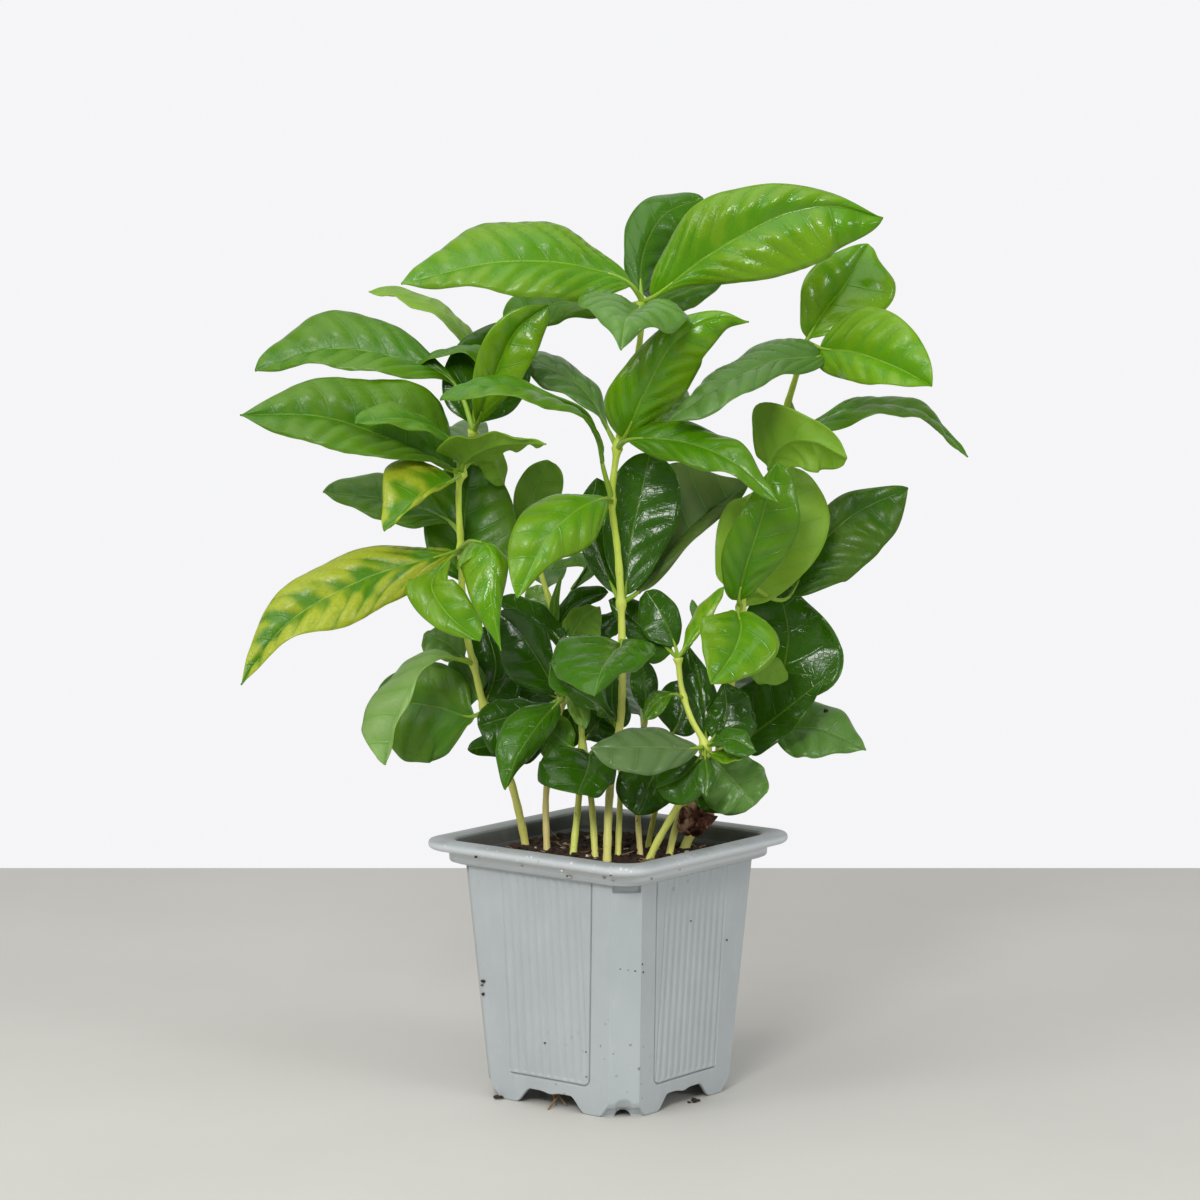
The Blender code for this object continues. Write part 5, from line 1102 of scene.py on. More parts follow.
def pot_profile():
    """The wall's section as rows of height, half width, corner, roundness, relief, skirt and
    darkening, which inside the pot stands partly for damp stains and partly for painted shade.

    It runs up the outside from the foot, over the rolled rim and down the inside.
    """
    rows = [(0.0, wall_half(0) - 0.35, FOOT_CORNER_CUT - 0.2, 0, 0, 1, 0)]
    heights = np.concatenate([np.linspace(0.35, 6.6, 14), np.linspace(7.0, 13.2, 26),
                              np.linspace(14.5, 74.8, 10), [75.1, 75.5, 76.5, 77.4]])
    for z in heights:
        corner = np.interp(z, [0, FOOT_CUT_HEIGHT, COLLAR_FOOT], [FOOT_CORNER_CUT, CORNER_CUT, CORNER_CUT])
        rows.append((z, wall_half(z), corner, 0, 1, 1, 0))
    collar = COLLAR_SIDE / 2
    rim = RIM_SIDE / 2
    rows += [(77.9, wall_half(78) + 0.05, CORNER_CUT, 0, 0, 0, 0), (78.1, collar - 1.2, 7.4, 0.6, 0, 0, 0),
             (78.5, collar - 0.45, 7.8, 1, 0, 0, 0), (79.1, collar - 0.1, 8, 1, 0, 0, 0),
             (82.0, collar + 0.05, 8, 1, 0, 0, 0), (82.45, collar + 0.3, 8.2, 1, 0, 0, 0),
             (82.6, collar + 0.9, 8.4, 1, 0, 0, 0), (82.55, rim - 2.0, 9.2, 1, 0, 0, 0)]
    for turn in np.radians(np.linspace(-75, 90, 12)):
        rows.append((RIM_TOP - ROLL_RADIUS + ROLL_RADIUS * math.sin(turn),
                     rim - ROLL_RADIUS + ROLL_RADIUS * math.cos(turn),
                     9.6 - 1.5 * max(0, math.sin(turn)) ** 2, 1, 0, 0, 0))
    rows += [(86.05, rim - 3.2, 7.9, 1, 0, 0, 0.12), (85.95, rim - 5.4, 7.4, 1, 0, 0, 0.3),
             (85.6, rim - 6.7, 6.9, 1, 0, 0, 0.4), (84.9, rim - 7.3, 6.6, 1, 0, 0, 0.8),
             (83.0, rim - 7.5, 6.5, 1, 0, 0, 0.9), (80.6, rim - 7.8, 6.5, 1, 0, 0, 0.9),
             (80.1, rim - 8.6, 6.6, 0.8, 0, 0, 1), (79.7, rim - 9.5, 6.8, 0.3, 0, 0, 1)]
    for z in (79.0, 70.0, 50.0, 30.0, FLOOR_HEIGHT, 5.0, 2.5, 0.35):
        corner = CORNER_CUT if z > 5 else 9.0
        rows.append((z, wall_half(min(z, 78)) - WALL_THICKNESS, corner, 0, 0, z < SKIRT, 1))
    rows.append((0.0, wall_half(0) - WALL_THICKNESS + 0.3, FOOT_CORNER_CUT - 0.9, 0, 0, 1, 1))
    return rows


def square_loop(steps):
    """Points around the square from -1 to 1, with this many on each side."""
    side, ones = np.arange(steps) / steps * 2 - 1, np.ones(steps)
    pairs = ((ones, side), (-side, ones), (-ones, -side), (side, -ones))
    return np.concatenate([np.stack(pair, 1) for pair in pairs])


def add_band(shape, loops, middle=0.0):
    """Join loops of level points, each at its own height, into one band."""
    points = [np.column_stack([loop + middle, np.full(len(loop), z)]) for loop, z in loops]
    shape.add(np.array(points), grid_faces(len(loops), len(loops[0][0]), closed=True).tolist())


def floor_plate():
    """The pot's floor: nine square cells, each with a round hole, in a frame out to the wall."""
    plate = Shape()
    cell = FLOOR_HOLE_PLACE / 2
    low, high = FLOOR_HEIGHT - FLOOR_THICKNESS, FLOOR_HEIGHT
    edge = square_loop(CELL_STEPS)
    circle = unit(edge) * FLOOR_HOLE_RADIUS
    for x in (-1, 0, 1):
        for y in (-1, 0, 1):
            loops = [(edge * cell, high), (circle, high), (circle, low), (edge * cell, low)]
            add_band(plate, loops, np.array([x, y]) * FLOOR_HOLE_PLACE)
    edge = square_loop(3 * CELL_STEPS)
    way = np.abs(unit(edge))
    half = wall_half(high) - WALL_THICKNESS / 2
    reach = np.minimum(half / way.max(axis=1), (2 * half - CORNER_CUT) / way.sum(axis=1))
    outline = unit(edge) * reach[:, None]
    add_band(plate, [(edge * 3 * cell, low), (outline, low), (outline, high), (edge * 3 * cell, high)])
    return plate


def add_pot(sizes):
    """The pot's wall as one closed band of rings, and its floor."""
    profile = pot_profile()
    rings, grooves = pot_rings(profile)
    count, around = rings.shape[:2]
    faces = grid_faces(count + 1, around, closed=True) % (count * around)
    # Each row's darkening inside the pot, partly damp stains and partly painted shade; the groove's share
    # carries painted shade
    grime_and_shade_share = np.repeat([row[6] for row in profile], around)
    wall = Shape()
    wall.add(rings, faces.tolist(), soiled=np.stack([grime_and_shade_share, grooves.ravel(), np.zeros(len(grime_and_shade_share))], axis=1))
    plastic = material("pot_plastic", paint_pot, sizes)
    shell = wall.piece("pot_wall", plastic, "pot", "pot")
    shell.data.set_sharp_from_angle(angle=SHARP_ANGLE)
    floor_plate().piece("pot_floor", plastic, "pot", "pot")


def soil_height(x, y):
    """The soil's top: noise at four sizes, a little higher along the wall."""
    height = 1.0 * value_noise(x, y, 6.0, 1) + 0.75 * value_noise(x, y, 2.4, 2)
    height = height + 0.45 * value_noise(x, y, 1.1, 3) + 0.22 * value_noise(x, y, 0.55, 4)
    edge = np.maximum(np.abs(x), np.abs(y)) / SOIL_HALF
    return SOIL_TOP + height + 0.6 * edge ** 6


def add_soil(sizes):
    """Soil as a closed body: a noisy top inside the wall, plain sides and a flat underside."""
    soil = Shape()
    line = np.linspace(-1.0, 1.0, SOIL_STEPS + 1) * SOIL_HALF
    x, y = np.meshgrid(line, line)
    over = np.maximum(0.0, np.abs(x) + np.abs(y) - (2 * SOIL_HALF - CORNER_CUT)) / 2
    x, y = x - np.sign(x) * over, y - np.sign(y) * over
    top = np.stack([x, y, soil_height(x, y)], axis=-1)
    floor = FLOOR_HEIGHT + 0.3
    narrow = (wall_half(floor) - WALL_THICKNESS - 0.3) / SOIL_HALF
    under = np.stack([x * narrow, y * narrow, np.full_like(x, floor)], axis=-1)
    soil.add(*closed_sheet(top, under))
    soil.piece("soil_body", peat(sizes), "soil", "soil")


def lump(centre, size, chance, rings=5, sides=7):
    """A crumb: a sphere whose radius is stretched and dented by random numbers."""
    angle = np.linspace(0.0, math.pi, rings + 1)[1:-1, None]
    turn = np.arange(sides)[None, :] * 2 * math.pi / sides + chance.uniform(0, 6)
    radius = size * chance.uniform(0.7, 1.15, (rings - 1, sides))
    ring = np.stack([np.sin(angle) * np.cos(turn), np.sin(angle) * np.sin(turn),
                     np.broadcast_to(np.cos(angle), (rings - 1, sides))], axis=-1)
    stretch = chance.uniform([0.8, 0.7, 0.5], [1.4, 1.1, 0.85])
    points = (ring * radius[..., None] * stretch).reshape(-1, 3)
    poles = np.array([[0, 0, 1], [0, 0, -1]]) * size * 0.85 * stretch
    count = len(points)
    faces = grid_faces(rings - 1, sides, closed=True, flip=True).tolist()
    faces += [[count, a, (a + 1) % sides] for a in range(sides)]
    last = count - sides
    faces += [[count + 1, last + (a + 1) % sides, last + a] for a in range(sides)]
    return np.concatenate([points, poles]) + centre, faces


def scatter(shape, count, smallest, largest, seed):
    """Strew crumbs over the soil, half sunk into it."""
    chance = np.random.default_rng(seed)
    for _ in range(count):
        x, y = chance.uniform(-SOIL_HALF, SOIL_HALF, 2) * 0.96
        if abs(x) + abs(y) > 2 * SOIL_HALF - CORNER_CUT - 3:
            continue
        size = smallest + (largest - smallest) * chance.uniform() ** 3
        centre = np.array([x, y, float(soil_height(x, y)) + size * 0.2])
        shape.add(*lump(centre, size, chance))


def add_crumbs(sizes):
    """Peat crumbs, white perlite and bark fibres on the soil; roots and crumbs under the pot."""
    brown, white, fibres = Shape(), Shape(), Shape()
    scatter(brown, 520, 0.4, 1.9, 11)
    for x, y, height, size in LOOSE_CRUMBS:
        brown.add(*lump(spot_on(x, y, UP, height), size, np.random.default_rng(x)))
    scatter(white, 75, 0.5, 1.3, 12)
    for shape, specks in ((brown, BROWN_SPECKS), (white, WHITE_SPECKS)):
        for x, y, normal, distance, size in specks:
            shape.add(*lump(spot_on(x, y, normal, distance), size, np.random.default_rng(y)))
    brown.piece("peat_crumbs", peat(sizes), "soil")
    grains = ((0.42, 0.38, 0.32), sizes.perlite, 500.0, 0.8, 0.0003)
    white.piece("perlite", material("perlite", paint_grain, *grains), "soil")

    chance = np.random.default_rng(13)
    for _ in range(70):
        x, y = chance.uniform(-SOIL_HALF, SOIL_HALF, 2) * 0.88
        turn, length = chance.uniform(0, 2 * math.pi), chance.uniform(2.0, 6.5)
        way = np.array([math.cos(turn), math.sin(turn), chance.uniform(-0.1, 0.35)])
        side = np.array([-way[1], way[0], 0.3])
        bend = np.linspace(0, 1, 6)[:, None]
        path = np.array([x, y, float(soil_height(x, y)) + 0.2]) + way * bend * length
        path = path + side * np.sin(bend * math.pi) * chance.uniform(-0.9, 0.9)
        fibres.add(*tube(path, chance.uniform(0.12, 0.3), 5))
    for route in ROOTS:
        path = smooth_route([spot_on(x, y, UP, height) for x, y, height in route], np.linspace(0, 1, 16))
        fibres.add(*tube(path, np.linspace(0.55, 0.3, 16), 7))
    grains = ((0.16, 0.09, 0.045), sizes.root, 300.0, 0.7, 0.0002)
    fibres.piece("fibres_and_roots", material("root", paint_grain, *grains), "soil")


class Value:
    """A shader value; arithmetic on it places the math node that works it out."""

    def __init__(self, nodes, socket):
        self.nodes = nodes
        self.socket = socket

    def __add__(self, other):
        return self.nodes.math("ADD", self, other)

    def __sub__(self, other):
        return self.nodes.math("SUBTRACT", self, other)

    def __rsub__(self, other):
        return self.nodes.math("SUBTRACT", other, self)

    def __mul__(self, other):
        return self.nodes.math("MULTIPLY", self, other)


class Nodes:
    """Short ways to place shader nodes in a material, a group or the world."""

    def __init__(self, tree):
        self.tree = tree

    def feed(self, socket, value):
        """Link the value to the socket, or set it there; a colour may leave out its alpha."""
        if isinstance(value, Value):
            self.tree.links.new(value.socket, socket)
        elif socket.type == "RGBA":
            socket.default_value = (*value[:3], 1.0)
        else:
            socket.default_value = value

    def add(self, kind, inputs=None, **settings):
        """Place a node with its settings, and feed its inputs by name or number."""
        node = self.tree.nodes.new(kind)
        for name, value in settings.items():
            setattr(node, name, value)
        for key, value in (inputs or {}).items():
            self.feed(node.inputs[key], value)
        return node

    def value(self, output, kind, inputs=None, **settings):
        """Place a node and give one of its outputs."""
        return Value(self, self.add(kind, inputs, **settings).outputs[output])

    def math(self, operation, first, second=0.0, clamp=False):
        return self.value(0, "ShaderNodeMath", {0: first, 1: second}, operation=operation, use_clamp=clamp)

    def step(self, value, low, high, start=0.0, end=1.0):
        """A smooth step of the value between low and high."""
        return self.value(0, "ShaderNodeMapRange", {0: value, 1: low, 2: high, 3: start, 4: end},
                          interpolation_type="SMOOTHSTEP")

    def mix(self, base, *layers):
        """Lay colours over the base, each by its share."""
        for share, colour in layers:
            base = self.value(2, "ShaderNodeMix", {0: share, 6: base, 7: colour}, data_type="RGBA")
        return base

    def noise(self, vector, scale, detail=3.0, roughness=0.55):
        return self.value("Fac", "ShaderNodeTexNoise", {"Vector": vector, "Scale": scale, "Detail": detail,
                                                        "Roughness": roughness})

    def cells(self, vector, scale, feature):
        return self.value("Distance", "ShaderNodeTexVoronoi", {"Vector": vector, "Scale": scale},
                          feature=feature)

    def parts(self, vector):
        """The three numbers of a vector."""
        node = self.add("ShaderNodeSeparateXYZ", {0: vector})
        return [Value(self, output) for output in node.outputs]

    def split(self, name):
        """The three numbers of a vertex attribute."""
        return self.parts(self.value("Vector", "ShaderNodeAttribute", attribute_name=name))

    def ramp(self, value, *stops):
        """Colours at their places from 0 to 1, eased straight between them."""
        node = self.add("ShaderNodeValToRGB", {0: value})
        bar = node.color_ramp.elements
        for index, (place, colour) in enumerate(stops):
            stop = bar[index] if index < 2 else bar.new(place)
            stop.position = place
            stop.color = (*colour, 1.0)
        return Value(self, node.outputs[0])

    def place(self):
        return self.value("Object", "ShaderNodeTexCoord")

    def stretched(self, vector, share):
        """The vector with its height shrunk, so that what it draws is drawn out along z."""
        return self.value(0, "ShaderNodeMapping", {"Vector": vector, "Scale": (1.0, 1.0, share)})

    def use(self, group, **values):
        """Place a node group, and give its outputs by name."""
        node = self.add("ShaderNodeGroup", node_tree=group)
        for name, value in values.items():
            self.feed(node.inputs[name], value)
        return {output.name: Value(self, output) for output in node.outputs}

    def bump(self, height, depth, strength=1.0):
        return self.value(0, "ShaderNodeBump", {"Height": height, "Distance": depth, "Strength": strength})


def node_group(name, fill, inputs, outputs):
    """The named group of numbers from a vector and numbers; fill(nodes, given, result) wires it."""
    group = bpy.data.node_groups.get(name)
    if group:
        return group
    group = bpy.data.node_groups.new(name, "ShaderNodeTree")
    group.interface.new_socket("Vector", in_out="INPUT", socket_type="NodeSocketVector")
    for label, default in inputs.items():
        socket = group.interface.new_socket(label, in_out="INPUT", socket_type="NodeSocketFloat")
        socket.default_value = default
    for label in outputs:
        group.interface.new_socket(label, in_out="OUTPUT", socket_type="NodeSocketFloat")
    nodes = Nodes(group)
    given = {output.name: Value(nodes, output) for output in nodes.add("NodeGroupInput").outputs}
    result = nodes.add("NodeGroupOutput").inputs
    for label, value in fill(nodes, given).items():
        nodes.feed(result[label], value)
    return group


def wire_veins(n, given):
    """Masks of the midrib, the side veins and the fine net, from the blade's own coordinates."""
    out = n.math("ABSOLUTE", given["Across"])
    half = given["Along"] * -0.4 + 0.55
    wobble = n.noise(given["Vector"], 160.0) * 0.05 + given["Phase"]
    off = n.math("ABSOLUTE", n.math("FRACT", wobble) - 0.5)
    line = n.step(off, 0.0, out * -0.03 + 0.06, 1.0, 0.0)
    fade = n.step(out, 0.75, 0.98, 1.0, 0.0) * n.step(given["Along"], 0.02, 0.1)
    net = n.cells(given["Vector"], 520.0, "DISTANCE_TO_EDGE")
    return {"Midrib": n.step(out * given["Reach"], half * 0.45, half, 1.0, 0.0),
            "Side Veins": line * fade,
            "From Vein": off,
            "Net": n.step(net, 0.0, 0.09, 1.0, 0.0),
            "Margin": n.step(out, 0.955, 0.99)}


def wire_soiling(n, given):
    """Masks of small flecks, and of the patches in which they gather."""
    limit = given["Amount"] * 0.42
    near = n.cells(given["Vector"], given["Scale"], "F1")
    ragged = n.noise(given["Vector"], given["Scale"] * 2.0) * 0.5 + near
    return {"Flecks": n.step(ragged, limit, limit + 0.06, 1.0, 0.0),
            "Patches": n.step(n.noise(given["Vector"], given["Scale"] * 0.12, 4.0), 0.5, 0.66)}


def soiling(n, place, scale, amount):
    """The masks of flecks and patches, at this many to the metre."""
    group = node_group("soiling", wire_soiling, {"Scale": 300.0, "Amount": 0.3}, ("Flecks", "Patches"))
    masks = n.use(group, Vector=place, Scale=scale, Amount=amount)
    return masks["Flecks"], masks["Patches"]


def material(name, paint, *given):
    """The named material; paint(nodes, shader inputs, *given) fills it when it is new."""
    made = bpy.data.materials.get(name)
    if not made:
        made = bpy.data.materials.new(name)
        made.use_nodes = True
        paint(Nodes(made.node_tree), made.node_tree.nodes["Principled BSDF"].inputs, *given)
    return made


def paint_leaf(n, shader, sizes):
    """Glossy leaf: green by its tone, with pale ribs, yellow between the veins and a matt underside.

    Painted shade darkens the furrows along the side veins, a painted sheen greys some leaves, and the
    underside is paler, partly of itself and partly by painted light shining through.
    """
    place = n.place()
    phase, across, along = n.split("vein")
    reach, dry, grey = n.split("size")
    light, yellow, under = n.split("tone")
    dulled = n.split("skin")[0]
    group = node_group("leaf_veins", wire_veins, {"Phase": 0.0, "Across": 0.0, "Along": 0.0, "Reach": 10.0},
                       ("Midrib", "Side Veins", "From Vein", "Net", "Margin"))
    veins = n.use(group, Vector=place, Phase=phase, Across=across, Along=along, Reach=reach)
    off = veins["From Vein"]

    # Painted shade: the green is darker in the furrows along the side veins
    level = light + n.noise(place, 70.0, 2.0) * 0.16 - 0.08 + (off - 0.25) * (light * 0.14 + 0.05)
    green = n.ramp(level, (0.0, sizes.deep_green), (1.0, sizes.bright_green), (0.5, sizes.green))
    outer = n.math("ABSOLUTE", across) * 0.3 + along * (1.0 - along) * 0.55
    patches = n.step(off * 0.3 + n.noise(place, 42.0, 3.0, 0.6) + outer, 0.72, 0.92, 0.03, 1.15)
    brown = n.ramp(n.noise(place, 240.0), (0.38, (0.05, 0.016, 0.01)), (0.62, (0.56, 0.34, 0.24)),
                   (0.5, (0.20, 0.07, 0.04)))
    n.feed(shader["Base Color"], n.mix(
        green,
        (n.math("MULTIPLY", yellow, patches, clamp=True), sizes.yellow),
        # Painted sheen: pale grey-green between the veins, standing for reflected glare
        (grey * n.step(off, 0.0, 0.3, 0.7, 1.0), sizes.bloom),
        (veins["Net"] * (yellow * 0.35 + 0.06), sizes.net_green),
        (veins["Side Veins"] * (under * 0.3 + 0.12), sizes.vein_green),
        (veins["Midrib"] * (light * 0.3 + 0.16), sizes.rib_green),
        (veins["Margin"] * (light * 0.3), sizes.rib_green),
        # Paler underside, partly its own colour and partly painted light shining through the leaf
        (under * (light * 0.5 + 0.15), sizes.underside_and_glow),
        (dry, brown)))

    rough = n.noise(place, 90.0) * 0.08 + sizes.leaf_roughness + dulled * 0.22 + under * 0.2
    n.feed(shader["Roughness"], n.math("ADD", rough, dry * 0.4, clamp=True))
    relief = veins["Side Veins"] * -0.9 + veins["Net"] * -0.22 + n.noise(place, 900.0, 2.0) * 0.25
    n.feed(shader["Normal"], n.bump(relief, 0.00012, 0.8))
    n.feed(shader["Specular IOR Level"], 0.36)
    n.feed(shader["Subsurface Weight"], 0.15)
    n.feed(shader["Subsurface Radius"], (0.6, 1.0, 0.15))
    n.feed(shader["Subsurface Scale"], 0.0012)


def paint_stem(n, shader, sizes):
    """Stem: yellow-green, paler toward the soil, with brown flecks and a fine grain along it."""
    place = n.place()
    z = n.parts(place)[2]
    main, beige, _ = n.split("growth")
    stretched = n.stretched(place, 0.3)
    flecks, patches = soiling(n, stretched, 900.0, 0.95)
    spots = flecks * patches * n.step(z, 0.10, 0.15, 1.0, 0.35) * main
    n.feed(shader["Base Color"], n.mix(
        n.mix(sizes.stem_lime, (beige, sizes.stem_foot)),
        (n.step(z + n.noise(place, 45.0) * 0.05, 0.09, 0.22), sizes.stem_green),
        (1.0 - main, sizes.stalk_green),
        (spots * 0.8, sizes.stem_fleck)))
    n.feed(shader["Roughness"], n.noise(place, 300.0) * 0.2 + 0.35)
    n.feed(shader["Normal"], n.bump(n.noise(stretched, 1200.0), 0.00015, 0.6))
    n.feed(shader["Subsurface Weight"], 0.2)
    n.feed(shader["Subsurface Radius"], (0.8, 1.0, 0.3))
    n.feed(shader["Subsurface Scale"], 0.001)


def paint_pot(n, shader, sizes):
    """Moulded plastic: blue-grey, with white dust and brown scuffs, and painted light and shade.

    A painted highlight runs along the collar and the rolled rim, painted shade darkens the rim's
    top and the panel's groove, and the inside is painted near black, partly for damp stains and
    partly as painted shade.
    """
    place = n.place()
    z = n.parts(place)[2]
    soiled, groove, _ = n.split("soiled")
    outside_share = 1.0 - soiled
    cloud = n.noise(place, 28.0, 4.0)
    streaks = n.step(n.noise(n.stretched(place, 0.22), 260.0, 3.0), 0.5, 0.75)
    white, drifts = soiling(n, place, 420.0, 1.0)
    dust = white * n.step(z, 0.0775, 0.0825, 0.06, 1.0) * drifts
    brown, patches = soiling(n, place, 240.0, 0.85)
    scuff = brown * patches * n.step(n.noise(place, 16.0, 2.0), 0.54, 0.62)
    # Painted highlight: the collar and the outside of the rolled rim are painted paler
    lip_highlight = n.step(z, 0.0792, 0.0802) * n.step(z, 0.0842, 0.0852, 1.0, 0.0)
    # Painted shade: the top of the rim is painted dark grey in uneven patches
    rim_top_shade = n.step(z, 0.0848, 0.0857) * n.step(n.noise(place, 75.0, 3.0), 0.3, 0.7, 0.35, 0.75)
    # Inside the pot: painted near black, partly for damp stains and partly as painted shade in the hollow
    grime_and_shade_colour = n.mix((0.018, 0.016, 0.014), (n.step(n.noise(place, 55.0, 4.0), 0.4, 0.65), (0.06, 0.064, 0.06)))
    n.feed(shader["Base Color"], n.mix(
        n.mix(sizes.pot_shade, (n.step(cloud, 0.35, 0.7), sizes.pot_grey)),
        (streaks * 0.12, (0.62, 0.66, 0.67)),
        (dust, (0.78, 0.78, 0.76)),
        (scuff * 0.75, (0.12, 0.075, 0.05)),
        (lip_highlight * outside_share * 0.6, (0.68, 0.71, 0.72)),
        (rim_top_shade * outside_share, (0.23, 0.24, 0.235)),
        # Inside: damp stains and painted shade
        (soiled * 0.94, grime_and_shade_colour),
        # Painted shade: the panel's groove is painted dark
        (groove * 0.6, (0.12, 0.13, 0.135))))
    rough = cloud * 0.16 + sizes.pot_roughness
    n.feed(shader["Roughness"], n.math("ADD", rough, dust * 0.3, clamp=True))
    skin = n.noise(place, 1500.0, 2.0) * 0.5 + n.noise(place, 90.0, 2.0)
    n.feed(shader["Normal"], n.bump(skin, 0.00012, 0.5))


def paint_grain(n, shader, dark, pale, scale, roughness, depth, fleck=None):
    """Crumbly matter: two colours mixed by noise, with a rough relief and scattered flecks."""
    place = n.place()
    grain = n.noise(place, scale, 5.0, 0.65)
    colour = n.ramp(grain, (0.32, dark), (0.72, pale))
    if fleck:
        colour = n.mix(colour, (soiling(n, place, scale * 2.2, 0.75)[0] * 0.8, fleck))
    n.feed(shader["Base Color"], colour)
    n.feed(shader["Roughness"], grain * 0.15 + roughness)
    n.feed(shader["Normal"], n.bump(n.noise(place, scale * 3, 4.0, 0.7), depth))


def peat(sizes):
    """The material of the soil and its crumbs."""
    grains = (sizes.peat_dark, sizes.peat_pale, 420.0, 0.8, 0.0006, (0.16, 0.08, 0.045))
    return material("peat", paint_grain, *grains)


def paint_floor(n, shader, sizes):
    """A plain pale surface with faint clouds."""
    cloud = n.noise(n.place(), 6.0, 4.0)
    n.feed(shader["Base Color"], n.ramp(cloud, (0.3, sizes.floor_shade), (0.7, sizes.floor)))
    n.feed(shader["Roughness"], 0.6)


def add_floor(sizes):
    """The square of floor that the pot stands on."""
    half = FLOOR_HALF
    square = ((-half, -half), (-half, half), (half, half), (half, -half))
    mesh = bpy.data.meshes.new("floor")
    mesh.from_pydata([tuple((ACROSS * x + TOWARD * y) * MM) for x, y in square], [], [(0, 1, 2, 3)])
    floor = bpy.data.objects.new("floor", mesh)
    bpy.context.scene.collection.objects.link(floor)
    mesh.materials.append(material("floor", paint_floor, sizes))


def add_lamps():
    """Soft square lamps that face the plant."""
    for name, across, toward, high, size, power, colour in LAMPS:
        lamp = bpy.data.lights.new(name, "AREA")
        lamp.size = size
        lamp.energy = power
        lamp.color = colour
        thing = bpy.data.objects.new(name, lamp)
        place = Vector(ACROSS * across + TOWARD * toward + UP * high)
        thing.location = place
        thing.rotation_euler = (Vector(LIT_POINT) - place).to_track_quat("-Z", "Y").to_euler()
        bpy.context.scene.collection.objects.link(thing)


def add_room(sizes):
    """Light from all around, stronger from behind the plant, and a plain backdrop."""
    world = bpy.data.worlds.new("studio")
    world.use_nodes = True
    n = Nodes(world.node_tree)
    facing = n.value("Value", "ShaderNodeVectorMath", {0: n.value("Generated", "ShaderNodeTexCoord"),
                                                       1: tuple(-TOWARD)}, operation="DOT_PRODUCT")
    lit = n.step(facing, -0.1, 0.75, sizes.room_front, sizes.room_back)
    seen = n.value("Is Camera Ray", "ShaderNodeLightPath")
    back = world.node_tree.nodes["Background"].inputs
    n.feed(back["Strength"], seen * sizes.room_seen + (1.0 - seen) * lit)
    n.feed(back["Color"], sizes.room)
    bpy.context.scene.world = world
    bpy.context.scene.view_settings.view_transform = "Standard"


def add_camera():
    """The eye of the photograph."""
    lens = bpy.data.cameras.new("viewer")
    lens.sensor_width = SENSOR
    lens.lens = SENSOR * PICTURE_FOCUS / PICTURE_SIDE
    camera = bpy.data.objects.new("viewer", lens)
    camera.location = (TOWARD * EYE_DISTANCE + UP * EYE_HEIGHT + ACROSS * EYE_ACROSS) * MM
    camera.rotation_euler = (math.pi / 2 - EYE_TILT, 0.0, VIEW_TURN)
    bpy.context.scene.collection.objects.link(camera)
    bpy.context.scene.camera = camera


def colour_prop(name, description, default):
    """A colour that the user can change."""
    return bpy.props.FloatVectorProperty(name=name, description=description, subtype="COLOR",
                                         size=3, min=0.0, max=1.0, default=default)


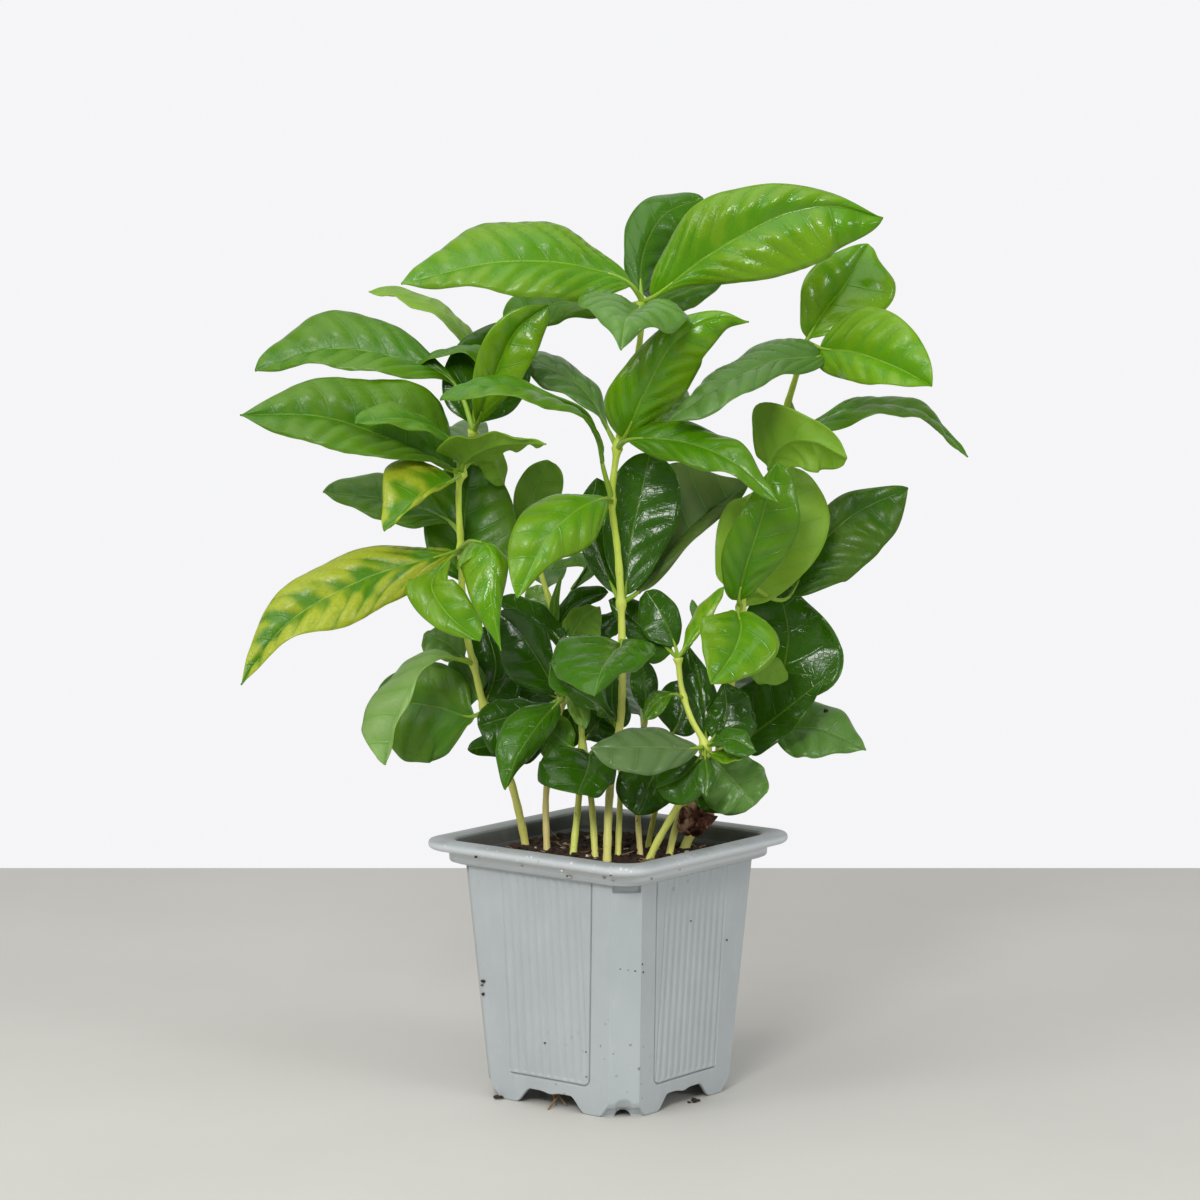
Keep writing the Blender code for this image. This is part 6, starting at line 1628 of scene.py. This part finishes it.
class PlantSizes(bpy.types.PropertyGroup):
    """The colours and finishes of the plant that a user would change."""

    deep_green: colour_prop("Deep green", "Darkest, oldest leaves", (0.014, 0.058, 0.001))
    green: colour_prop("Green", "Leaves of middle age", (0.060, 0.200, 0.001))
    bright_green: colour_prop("Bright green", "Young leaves in full light", (0.140, 0.370, 0.001))
    # Underside colour: partly the leaf's own paler face, partly painted light shining through
    underside_and_glow: colour_prop("Underside", "Lower face of the leaves", (0.23, 0.41, 0.03))
    # Painted sheen: the grey-green laid over some leaves for reflected glare
    bloom: colour_prop("Bloom", "Grey sheen on some leaves", (0.30, 0.40, 0.20))
    yellow: colour_prop("Yellow", "Leaves that turn yellow between their veins", (0.56, 0.56, 0.035))
    net_green: colour_prop("Net", "Fine net of veins", (0.05, 0.17, 0.012))
    vein_green: colour_prop("Side veins", "Veins that branch off the midrib", (0.14, 0.32, 0.02))
    rib_green: colour_prop("Midrib", "Midribs and leaf margins", (0.30, 0.46, 0.05))
    leaf_roughness: bpy.props.FloatProperty(name="Leaf roughness", min=0.0, max=1.0, default=0.16,
                                            description="How matt the leaves' upper faces are")
    stem_foot: colour_prop("Stem foot", "Oldest stems near the soil", (0.90, 0.74, 0.30))
    stem_lime: colour_prop("Young stem foot", "Younger stems near the soil", (0.76, 0.82, 0.16))
    stem_green: colour_prop("Stem", "Stems among the leaves", (0.56, 0.70, 0.08))
    stalk_green: colour_prop("Leaf stalk", "Stalks between stem and blade", (0.28, 0.46, 0.03))
    stem_fleck: colour_prop("Stem flecks", "Brown flecks on the stems", (0.14, 0.07, 0.03))
    pot_grey: colour_prop("Pot", "The pot's plastic", (0.455, 0.497, 0.51))
    pot_shade: colour_prop("Pot shade", "The darker clouds in the plastic", (0.42, 0.46, 0.475))
    pot_roughness: bpy.props.FloatProperty(name="Pot roughness", min=0.0, max=1.0, default=0.32,
                                           description="How matt the plastic is")
    peat_dark: colour_prop("Peat", "Damp peat in the hollows", (0.010, 0.005, 0.003))
    peat_pale: colour_prop("Dry peat", "Peat on the lumps", (0.075, 0.032, 0.018))
    perlite: colour_prop("Perlite", "White grains in the soil", (0.72, 0.68, 0.6))
    root: colour_prop("Roots", "Roots and bark fibres", (0.42, 0.29, 0.14))
    floor: colour_prop("Floor", "The surface that the pot stands on", (0.58, 0.57, 0.53))
    floor_shade: colour_prop("Floor shade", "The darker clouds in the floor", (0.545, 0.535, 0.495))
    room: colour_prop("Room", "The light from all around", (0.985, 0.985, 1.0))
    room_seen: bpy.props.FloatProperty(name="Backdrop", min=0.0, default=0.93,
                                       description="How bright the room shows behind the plant")
    room_back: bpy.props.FloatProperty(name="Light from behind", min=0.0, default=0.72,
                                       description="Light that the room gives from behind the plant")
    room_front: bpy.props.FloatProperty(name="Light from the front", min=0.0, default=0.28,
                                        description="Light that the room gives from the viewer's side")


class PLANT_OT_pot(bpy.types.Operator):
    """Build the ribbed nursery pot with its rolled rim and drain holes"""

    bl_idname = "plant.pot"
    bl_label = "Pot"

    def execute(self, context):
        add_pot(context.scene.plant_sizes)
        return {"FINISHED"}


class PLANT_OT_soil(bpy.types.Operator):
    """Build the soil with its lumpy top"""

    bl_idname = "plant.soil"
    bl_label = "Soil"

    def execute(self, context):
        add_soil(context.scene.plant_sizes)
        return {"FINISHED"}


class PLANT_OT_crumbs(bpy.types.Operator):
    """Strew crumbs, perlite and fibres, and hang the roots under the pot"""

    bl_idname = "plant.crumbs"
    bl_label = "Crumbs and roots"

    def execute(self, context):
        add_crumbs(context.scene.plant_sizes)
        return {"FINISHED"}


class PLANT_OT_seedlings(bpy.types.Operator):
    """Build each seedling's stem, stalks and leaves"""

    bl_idname = "plant.seedlings"
    bl_label = "Seedlings"

    def execute(self, context):
        for plant in STEMS:
            add_seedling(plant, context.scene.plant_sizes)
        return {"FINISHED"}


class PLANT_OT_stage(bpy.types.Operator):
    """Set up the pale floor, the soft light and the camera"""

    bl_idname = "plant.stage"
    bl_label = "Stage"

    def execute(self, context):
        add_floor(context.scene.plant_sizes)
        add_lamps()
        add_room(context.scene.plant_sizes)
        add_camera()
        return {"FINISHED"}


class PLANT_PT_panel(bpy.types.Panel):
    """Lists the parts of the plant that can be built"""

    bl_idname = "PLANT_PT_panel"
    bl_label = "Potted coffee plant"
    bl_space_type = "VIEW_3D"
    bl_region_type = "UI"
    bl_category = "Plant"

    def draw(self, context):
        column = self.layout.column()
        for part in OPERATORS:
            column.operator(part.bl_idname)
        for name in PlantSizes.__annotations__:
            column.prop(context.scene.plant_sizes, name)


OPERATORS = (PLANT_OT_stage, PLANT_OT_pot, PLANT_OT_soil, PLANT_OT_crumbs, PLANT_OT_seedlings)
CLASSES = (PlantSizes, *OPERATORS, PLANT_PT_panel)


def register():
    for part in CLASSES:
        bpy.utils.register_class(part)
    bpy.types.Scene.plant_sizes = bpy.props.PointerProperty(type=PlantSizes)


def unregister():
    del bpy.types.Scene.plant_sizes
    for part in reversed(CLASSES):
        bpy.utils.unregister_class(part)


def main():
    register()
    bpy.ops.plant.stage()
    bpy.ops.plant.pot()
    bpy.ops.plant.soil()
    bpy.ops.plant.crumbs()
    bpy.ops.plant.seedlings()
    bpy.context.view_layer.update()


if __name__ == "__main__":
    main()
